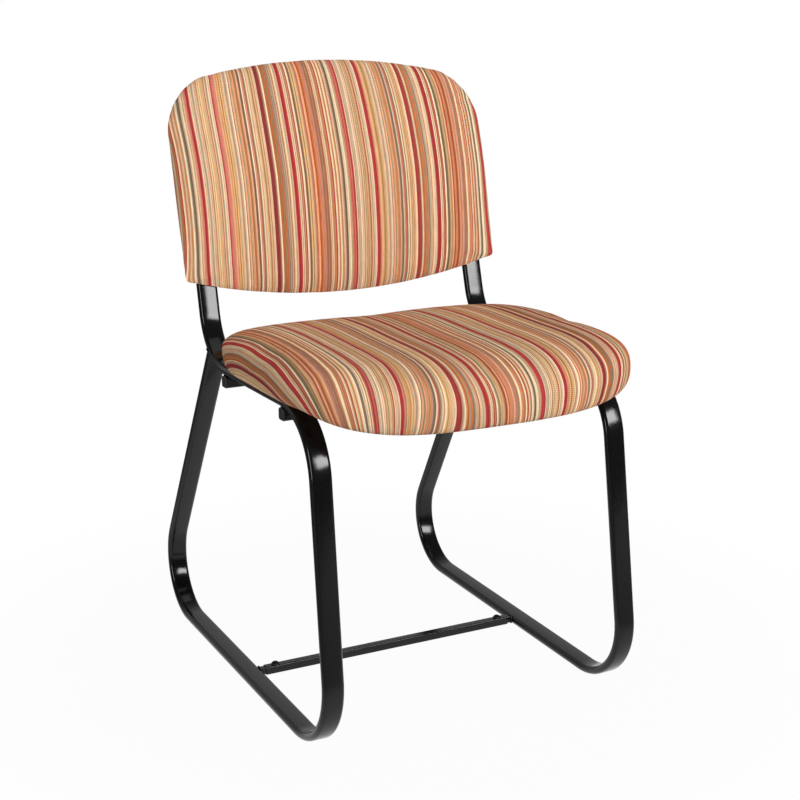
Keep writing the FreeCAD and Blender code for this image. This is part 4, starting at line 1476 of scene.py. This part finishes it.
@dataclass
class SeatCushion(PaddedForm):
    """The seat: wide, softly squared, its front rolled down."""

    name: str = "seat_cushion"
    middle: tuple[float, float] = (0.0, -0.271)
    crown_power: float = 2.9
    half_width: float = 0.2514
    reaches: tuple[float, float] = (0.1720, 0.2510)
    powers: tuple[float, float] = (3.2, 4.8)
    board_low: float = 0.00767
    waist_height: float = 0.0325
    waist_slope: float = 0.03
    front_drop: float = 0.0454
    low_drop: float = 0.062
    drop_start: float = -0.186
    front_power: float = 2.45
    top_level: float = 0.0565
    top_fall: float = -0.0055
    fall_start: float = -0.2795
    fall_run: float = 0.255
    side_lift: tuple[float, float] = (0.012, 0.009)
    lift_at: float = 0.2
    lip: float = 0.007
    cover: float = 0.0015
    tuck: float = 0.010
    side_power: float = 2.7
    lip_start: float = -0.365
    lip_radius: float = 0.060
    lip_angle: float = math.radians(45)
    edge_blend: float = 0.004
    side_sag: float = -0.0010
    sag_at: tuple[float, float] = (0.225, -0.42)
    sag_run: tuple[float, float] = (0.02, 0.06)
    pull: float = 0.023
    pull_start: float = -0.356
    pull_run: float = 0.108
    pull_most: float = 1.5
    pull_power: float = 1.6
    pull_side: float = 0.15
    pull_gain: float = 1.15
    pull_back: float = 0.17
    rear_shift: float = 0.0045
    rear_start: float = -0.345
    rear_run: float = 0.11
    rear_most: float = 1.6

    def outline(self, a: np.ndarray, b: np.ndarray) -> tuple[np.ndarray, np.ndarray]:
        """P and Q of the outline, squarer behind its middle than in front.

        Args:
            a: First direction of the square grid.
            b: Second direction of the square grid.

        Returns:
            P and Q in each direction.
        """
        power = np.where(b > 0, self.powers[1], self.powers[0])
        reach = np.where(b > 0, self.reaches[1], self.reaches[0])
        share = (abs(a) ** power + abs(b) ** power) ** (-1 / power)
        return share * a * self.half_width, self.middle[1] + share * b * reach

    def line(self, q: np.ndarray, drop: float) -> np.ndarray:
        """Depth of a line along the side that drops towards the front.

        Args:
            q: Places along.
            drop: How far it has dropped at the front edge.

        Returns:
            The depth at each place.
        """
        full = self.drop_start - self.middle[1] + self.reaches[0]
        past = np.maximum(0.0, (self.drop_start - q) / full)
        level = self.board_low + self.waist_height + self.waist_slope * (self.middle[1] - q)
        return level - drop * past ** 2

    def waist(self, q: np.ndarray) -> np.ndarray:
        """Depth of the widest line."""
        return self.line(q, self.front_drop)

    def top(self, p: np.ndarray, q: np.ndarray) -> np.ndarray:
        """Depth of the padding's top, dished between its sides and rising to the rear.

        Args:
            p: Places across.
            q: Places along.

        Returns:
            The depth at each place.
        """
        part = np.clip((q - self.fall_start) / self.fall_run, 0, 1)
        level = self.top_level - self.top_fall * smooth(part)
        lift = np.where(p < 0, self.side_lift[0], self.side_lift[1])
        return level + lift * (1 - part ** 2) * np.clip(abs(p) / self.lift_at, 0, 1) ** 3

    def face(self, p: np.ndarray, q: np.ndarray, share: np.ndarray) -> np.ndarray:
        """Depth of the crowned face, softer over its front edge.

        Args:
            p: Places across.
            q: Places along.
            share: Share of the way out to the outline.

        Returns:
            The depth at each place.
        """
        ahead = np.clip((self.middle[1] - q) / self.reaches[0], 0, 1)
        front = np.clip(ahead / np.maximum(share, 1e-6), 0, 1) ** 4
        power = self.crown_power + (self.front_power - self.crown_power) * front
        dome = np.maximum(0.0, 1 - share ** power) ** (1 / power)
        waist = self.waist(q)
        return waist + (self.top(p, q) - waist) * dome

    def drawn(self, lay: np.ndarray) -> np.ndarray:
        """The flat lay with the cover drawn towards the front corner at -X.

        Args:
            lay: The even flat lay.

        Returns:
            The flat lay as the stripes show it.
        """
        ahead = np.maximum(0.0, (self.pull_start - lay[:, 1]) / self.pull_run)
        reach = np.minimum(ahead, self.pull_most) ** self.pull_power
        part = np.clip(-lay[:, 0] / self.pull_side, 0, 1)
        share = self.pull_gain * smooth(part) - self.pull_back
        behind = np.clip((lay[:, 1] - self.rear_start) / self.rear_run, 0, self.rear_most)
        drawn = lay.copy()
        drawn[:, 0] += self.pull * reach * share - self.rear_shift * behind
        return drawn

    def under_board(self, q: np.ndarray) -> np.ndarray:
        """Depth of the board's underside, with its turned-down lip.

        Args:
            q: Places along.

        Returns:
            The depth at each place.
        """
        past = np.maximum(0.0, self.lip_start - q)
        knee = self.lip_radius * math.sin(self.lip_angle)
        on_arc = np.minimum(past, knee)
        arc = self.lip_radius - np.sqrt(self.lip_radius ** 2 - on_arc ** 2)
        return self.board_low - arc - np.maximum(0.0, past - knee)

    def back(self, p: np.ndarray, q: np.ndarray) -> np.ndarray:
        """Depth of the cover's back face."""
        return self.under_board(q) - self.cover

    def side(self, p: np.ndarray, q: np.ndarray, turn: float) -> tuple[float, np.ndarray]:
        """Inset and depth of the side, which tucks in under the board.

        Args:
            p: Places across on the outline.
            q: Places along on the outline.
            turn: 0 at the widest line and 1 at the back.

        Returns:
            The inset and the depth at each place.
        """
        angle = turn * math.pi / 2
        low_line = self.line(q, self.low_drop)
        over = low_line - self.board_low - self.lip
        over = (over + np.sqrt(over ** 2 + self.edge_blend ** 2)) / 2
        beside = np.clip((abs(p) - self.sag_at[0]) / self.sag_run[0], 0, 1)
        beside = beside * np.clip((q - self.sag_at[1]) / self.sag_run[1], 0, 1)
        low = low_line - self.lip - self.cover - over - self.side_sag * beside
        fall = self.waist(q) - low
        drop = fall * math.sin(angle) ** (2 / self.side_power)
        inset = self.tuck * (1 - max(0.0, math.cos(angle)) ** (2 / self.side_power))
        return inset, self.waist(q) - drop

    def place(self) -> Matrix:
        """Place of the seat board's own axes."""
        return self.layout.seat_place

    def own_axes(self, p: np.ndarray, q: np.ndarray,
                 depth: np.ndarray) -> tuple[np.ndarray, np.ndarray, np.ndarray]:
        """Q runs along Y and depth up Z."""
        return p, q, depth


@dataclass
class BackCushion(PaddedForm):
    """The backrest's pad: flat at its back, crowned in front, wrapped forward."""

    name: str = "back_cushion"
    middle: tuple[float, float] = (0.0, 0.25275)
    crown_power: float = 2.7
    crown_run: tuple[float, float] = (0.20, 0.038)
    hem: tuple[float, float, float] = (0.012, 0.026, 0.0265)
    side_rings: int = 4
    along_powers: tuple[float, float] = (1.45, 1.6)
    half_width: float = 0.2508
    low_middle: float = 0.0788
    high_middle: float = 0.4250
    low_bow: float = 0.034
    high_bow: float = 0.0375
    low_corner: float = 0.006
    high_corner: float = 0.068
    waist_depth: float = 0.0017
    wrap: float = 0.008
    wrap_at: float = 0.240
    crown: float = 0.0375
    rear_depth: float = -0.0001
    side_inset: float = 0.003
    width_steps: int = 1500
    side_steps: int = 300

    def low(self, p: np.ndarray) -> np.ndarray:
        """Height of the lower edge.

        Args:
            p: Places across.

        Returns:
            Q of the edge at each place.
        """
        into = np.maximum(0.0, abs(p) - (self.half_width - self.low_corner))
        edge = self.low_middle + self.low_bow * (p / self.half_width) ** 2
        return edge + self.low_corner - np.sqrt(np.maximum(0, self.low_corner ** 2 - into ** 2))

    def high(self, p: np.ndarray) -> np.ndarray:
        """Height of the upper edge.

        Args:
            p: Places across.

        Returns:
            Q of the edge at each place.
        """
        into = np.maximum(0.0, abs(p) - (self.half_width - self.high_corner))
        edge = self.high_middle - self.high_bow * (p / self.half_width) ** 2
        corner = np.sqrt(np.maximum(0, self.high_corner ** 2 - into ** 2))
        return edge - self.high_corner + corner

    def outline(self, a: np.ndarray, b: np.ndarray) -> tuple[np.ndarray, np.ndarray]:
        """P and Q of the outline, from its distances round the middle.

        Args:
            a: First direction of the square grid.
            b: Second direction of the square grid.

        Returns:
            P and Q in each direction.
        """
        angles, radii = self.polar()
        half_height = (self.high_middle - self.low_middle) / 2
        wanted = np.arctan2(b * half_height, a * self.half_width)
        radius = np.interp(wanted, angles, radii)
        return (self.middle[0] + radius * np.cos(wanted),
                self.middle[1] + radius * np.sin(wanted))

    def polar(self) -> tuple[np.ndarray, np.ndarray]:
        """Distance of the outline from the middle at each angle.

        Returns:
            Angles in order and their distances.
        """
        turn = np.linspace(-math.pi / 2, math.pi / 2, self.width_steps)
        p = self.half_width * np.sin(turn)
        low, high = self.low(p), self.high(p)
        rise = np.linspace(low[-1], high[-1], self.side_steps)
        edge = np.full(self.side_steps, self.half_width)
        p_all = np.concatenate([p, edge, p[::-1], -edge])
        q_all = np.concatenate([low, rise, high[::-1], rise[::-1]]) - self.middle[1]
        angle = np.arctan2(q_all, p_all)
        order = np.argsort(angle)
        angle, radius = angle[order], np.hypot(p_all, q_all)[order]
        return (np.concatenate([[angle[-1] - 2 * math.pi], angle, [angle[0] + 2 * math.pi]]),
                np.concatenate([[radius[-1]], radius, [radius[0]]]))

    def bend(self, p: np.ndarray) -> np.ndarray:
        """How far the backrest curves forward."""
        return self.wrap * (p / self.wrap_at) ** 2

    def face(self, p: np.ndarray, q: np.ndarray, share: np.ndarray) -> np.ndarray:
        """Depth of the crowned face.

        Args:
            p: Places across.
            q: Places along.
            share: Share of the way out to the outline; not used here.

        Returns:
            The depth at each place.
        """
        reach = np.where(q > self.middle[1], self.high(p) - self.middle[1],
                         self.middle[1] - self.low(p))
        along = np.clip(abs(q - self.middle[1]) / reach, 0, 1)
        across = np.clip(abs(p) / self.half_width, 0, 1)
        power = np.where(q > self.middle[1], self.along_powers[1], self.along_powers[0])
        rise = (1 - along ** power) ** (1 / power)
        rise = rise * (1 - across ** self.crown_power) ** (1 / self.crown_power)
        return self.waist_depth + self.bend(p) + self.crown * rise

    def back(self, p: np.ndarray, q: np.ndarray) -> np.ndarray:
        """Depth of the cover's back face."""
        return self.rear_depth + self.bend(p)

    def side(self, p: np.ndarray, q: np.ndarray, turn: float) -> tuple[float, np.ndarray]:
        """Inset and depth of the thin side.

        Args:
            p: Places across on the outline.
            q: Places along on the outline; not used here.
            turn: 0 at the widest line and 1 at the back.

        Returns:
            The inset and the depth at each place.
        """
        angle = turn * math.pi / 2
        deep = self.waist_depth - self.rear_depth
        return (self.side_inset * (1 - math.cos(angle)),
                self.waist_depth + self.bend(p) - deep * math.sin(angle))

    def place(self) -> Matrix:
        """Place of the back board's own axes."""
        return self.layout.back_place

    def own_axes(self, p: np.ndarray, q: np.ndarray,
                 depth: np.ndarray) -> tuple[np.ndarray, np.ndarray, np.ndarray]:
        """Q runs up Z and depth forward, against Y."""
        return p, -depth, q


# Small parts shown as they are packed

@dataclass(frozen=True)
class PackedPart:
    """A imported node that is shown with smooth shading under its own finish."""

    node: str
    finish: str
    slot: str
    degrees: float = 35.0

    def build(self, finishes: dict[str, bpy.types.Material]) -> bpy.types.Object:
        """Copy the node's mesh, merge it, shade it and let it stand for the node.

        Args:
            finishes: The materials by name.

        Returns:
            The dressed piece.
        """
        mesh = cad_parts[self.node].data.copy()
        mesh.name = f"{self.node}_smooth"
        piece = bpy.data.objects.new(f"{self.node}_smooth", mesh)
        bpy.context.scene.collection.objects.link(piece)
        make_active(piece)
        bpy.ops.mesh.customdata_custom_splitnormals_clear()
        outward(piece)
        shade(piece, self.degrees)
        return dress(piece, finishes[self.finish], (self.node,))


PACKED_PARTS = (
    PackedPart("post_plugs", "cap plastic", "cap_plastic"),
    PackedPart("floor_glides", "glide nylon", "glide_nylon"),
    PackedPart("cross_rail_end_caps", "cap plastic", "cap_plastic"),
    PackedPart("floor_crossbar", "black powder paint", "frame_paint"),
    PackedPart("crossbar_spigots", "black powder paint", "frame_paint"),
    PackedPart("crossbar_bolts", "blackened bolts", "bolt_finish", 50.0),
    PackedPart("seat_cross_rail_rear", "black powder paint", "frame_paint"),
    PackedPart("seat_cross_rail_front", "black powder paint", "frame_paint"),
    PackedPart("seat_bolts", "blackened bolts", "bolt_finish"),
    PackedPart("seat_washers", "bright zinc", "zinc_steel"),
    PackedPart("seat_tee_nuts", "bright zinc", "zinc_steel"),
    PackedPart("back_bolts", "blackened bolts", "bolt_finish", 50.0),
    PackedPart("back_tee_nuts", "bright zinc", "zinc_steel"),
    PackedPart("seat_board", "beech plywood", "plywood"),
    PackedPart("back_board", "beech plywood", "plywood"),
    PackedPart("seat_underlining", "black underlining", "underlining"),
    PackedPart("back_shell", "black shell plastic", "shell_plastic", 50.0),
)


def make_finishes() -> dict[str, bpy.types.Material]:
    """Build every material.

    Returns:
        The materials by name.
    """
    finishes = [
        GrainedFinish("black powder paint", srgb(11, 11, 12), srgb(15, 15, 16), (0.09, 0.15),
                      grain_size=1400.0, grain_height=0.00003, level=0.3),
        GrainedFinish("cap plastic", srgb(17, 17, 18), srgb(23, 23, 24), (0.36, 0.48)),
        GrainedFinish("black shell plastic", srgb(19, 19, 20), srgb(25, 25, 26), (0.44, 0.56),
                      grain_size=1100.0, grain_height=0.00012),
        GrainedFinish("glide nylon", srgb(26, 26, 27), srgb(34, 34, 35), (0.50, 0.62)),
        GrainedFinish("blackened bolts", srgb(30, 30, 32), srgb(44, 44, 46), (0.28, 0.42),
                      metallic=0.8),
        GrainedFinish("bright zinc", srgb(176, 178, 182), srgb(150, 153, 158), (0.24, 0.42),
                      metallic=1.0, cloud_size=90.0),
        PlywoodFinish(), UnderliningFinish(),
        # The seat's copy of the same cloth runs darker than the back's (tone 0.68 to 1.18
        # against 0.74 to 1.24): painted shade for the seat's less lit top, on top of the yarns'
        # random tone
        StripedCloth("striped cloth seat", 0.165, 0.219),
        StripedCloth("striped cloth back", 0.220, 0.2295, (0.74, 1.24)),
    ]
    made = [finish.make() for finish in finishes]
    return {material.name: material for material in made}


# Floor, lights and camera

@dataclass(frozen=True)
class Softbox:
    """A rectangular light aimed at one point."""

    name: str
    place: tuple[float, float, float]
    aim: tuple[float, float, float]
    size: tuple[float, float]
    power: float

    def build(self) -> bpy.types.Object:
        """Add the light.

        Returns:
            The light.
        """
        deselect()
        bpy.ops.object.light_add(type="AREA", location=self.place)
        lamp = bpy.context.view_layer.objects.active
        lamp.name = self.name
        lamp.data.shape = "RECTANGLE"
        lamp.data.size, lamp.data.size_y = self.size
        lamp.data.energy = self.power
        ahead = Vector(self.aim) - lamp.location
        lamp.rotation_euler = ahead.to_track_quat("-Z", "Y").to_euler()
        return lamp


LIGHTS = (
    Softbox("front key", (1.45, -2.8, 1.8), (0.0, 0.0, 0.45), (1.7, 0.9), 96.0),
    Softbox("left strip", (-2.6, -1.35, 1.1), (0.0, 0.0, 0.4), (0.5, 1.7), 30.0),
    Softbox("overhead softbox", (0.0, 0.2, 2.7), (0.0, 0.0, 0.4), (1.8, 1.8), 9.0),
)


@dataclass(frozen=True)
class Studio:
    """White floor, white surround, soft lights and the camera of the picture."""

    camera_place: tuple[float, float, float] = (-0.95294, -1.89755, 0.96928)
    azimuth: float = math.radians(-27.037)
    elevation: float = math.radians(15.389)
    roll: float = math.radians(0.0952)
    lens: float = 69.67
    sensor: float = 36.0
    surround: float = 0.12
    rear_range: tuple[float, float] = (0.2, 0.8)
    rear_share: float = 0.55
    floor_size: float = 40.0
    floor_grey: float = 0.45
    near_range: tuple[float, float] = (0.40, 0.85)
    shadow: float = 0.035

    def seen(self, nodes: Nodes, mirrored: bpy.types.NodeSocket) -> bpy.types.NodeSocket:
        """How much of the white ground a ray sees.

        Args:
            nodes: Node helper of the material or the world.
            mirrored: Share that glossy rays see.

        Returns:
            The share, 0 to 1.
        """
        path = nodes.add("ShaderNodeLightPath")
        gloss = nodes.math("MULTIPLY", path.outputs["Is Glossy Ray"], mirrored)
        straight = nodes.math("MAXIMUM", path.outputs["Is Camera Ray"],
                              path.outputs["Is Transmission Ray"])
        return nodes.math("MAXIMUM", straight, gloss)

    def floor(self) -> None:
        """White floor that shows white, a little darker near the chair."""
        deselect()
        bpy.ops.mesh.primitive_plane_add(size=self.floor_size, location=(0, 0, 0))
        plane = new_piece("floor")
        material = bpy.data.materials.new("studio floor")
        material.use_nodes = True
        nodes = Nodes(material.node_tree)
        shader = material.node_tree.nodes["Principled BSDF"]
        shader.inputs["Base Color"].default_value = (*[self.floor_grey] * 3, 1.0)
        shader.inputs["Roughness"].default_value = 0.9
        shader.inputs["Specular IOR Level"].default_value = 0.1
        white = nodes.add("ShaderNodeEmission", {"Color": WHITE, "Strength": 1.0})
        reach = nodes.add("ShaderNodeVectorMath", {0: nodes.object_place()},
                          operation="LENGTH")
        near = nodes.span(reach.outputs["Value"], self.near_range, (1.0, 0.0), "SMOOTHSTEP")
        shadow = nodes.math("MULTIPLY_ADD", near, -self.shadow, 1.0)
        share = nodes.math("MULTIPLY", self.seen(nodes, near), shadow)
        mix = nodes.add("ShaderNodeMixShader", {0: share})
        nodes.feed(mix, 1, shader.outputs[0])
        nodes.feed(mix, 2, white.outputs[0])
        nodes.feed(material.node_tree.nodes["Material Output"], "Surface", mix.outputs[0])
        plane.data.materials.append(material)

    def world(self) -> None:
        """Even surround that the camera sees as white."""
        world = bpy.data.worlds.new("surround")
        bpy.context.scene.world = world
        world.use_nodes = True
        nodes = Nodes(world.node_tree)
        world.node_tree.nodes.clear()
        place = nodes.add("ShaderNodeTexCoord")
        parts = nodes.add("ShaderNodeSeparateXYZ", {"Vector": place.outputs["Generated"]})
        behind = nodes.span(parts.outputs["Y"], self.rear_range, (0.0, self.rear_share),
                            "SMOOTHSTEP")
        strength = nodes.span(self.seen(nodes, behind), (0.0, 1.0), (self.surround, 1.0))
        light = nodes.add("ShaderNodeBackground", {"Color": WHITE, "Strength": strength})
        out = nodes.add("ShaderNodeOutputWorld")
        nodes.feed(out, "Surface", light.outputs[0])

    def camera(self) -> None:
        """Camera that matches the picture's place, turn and lens."""
        flat = math.cos(self.elevation)
        back = Vector((math.sin(self.azimuth) * flat, -math.cos(self.azimuth) * flat,
                       math.sin(self.elevation)))
        right = Vector((math.cos(self.azimuth), math.sin(self.azimuth), 0.0))
        up = back.cross(right)
        rolled = right * math.cos(self.roll) + up * math.sin(self.roll)
        raised = back.cross(rolled)
        data = bpy.data.cameras.new("picture camera")
        data.lens = self.lens
        data.sensor_width = self.sensor
        data.clip_start, data.clip_end = 0.05, 100.0
        camera = bpy.data.objects.new("picture camera", data)
        bpy.context.scene.collection.objects.link(camera)
        turn = Matrix((rolled, raised, back)).transposed().to_4x4()
        camera.matrix_world = Matrix.Translation(self.camera_place) @ turn
        bpy.context.scene.camera = camera

    def build(self) -> None:
        """Set up the whole studio."""
        self.floor()
        self.world()
        for lamp in LIGHTS:
            lamp.build()
        self.camera()
        bpy.context.scene.view_settings.view_transform = "Standard"


def build_frames(finishes: dict[str, bpy.types.Material]) -> None:
    """Make both side frames and their weld beads.

    Args:
        finishes: The materials by name.
    """
    paint = finishes["black powder paint"]
    tube = SideFrame(LAYOUT)
    joints = FrameJoints(LAYOUT)
    for side in Side:
        word = side.name.lower()
        dress(tube.sweep(f"side_tube_{word}", side), paint,
              (f"side_frame_{word}",))
        beads = [tube.leg_weld(side), *joints.rail_welds(side), joints.spigot_weld(side)]
        dress(join(beads, f"weld_beads_{word}"), paint)


def build_cushions(finishes: dict[str, bpy.types.Material]) -> None:
    """Make the seat and the backrest pads.

    Args:
        finishes: The materials by name.
    """
    seat = dress(SeatCushion(LAYOUT).build(), finishes["striped cloth seat"],
                 ("seat_cover", "seat_foam"))
    back = dress(BackCushion(LAYOUT).build(), finishes["striped cloth back"],
                 ("back_cover", "back_foam"))


def main() -> None:
    """Build the chair's looks and the studio round it."""
    logging.basicConfig(level=logging.INFO, format="%(name)s: %(message)s")
    finishes = make_finishes()
    build_frames(finishes)
    build_cushions(finishes)
    for part in PACKED_PARTS:
        part.build(finishes)
    Studio().build()


if __name__ == "__main__":
    main()
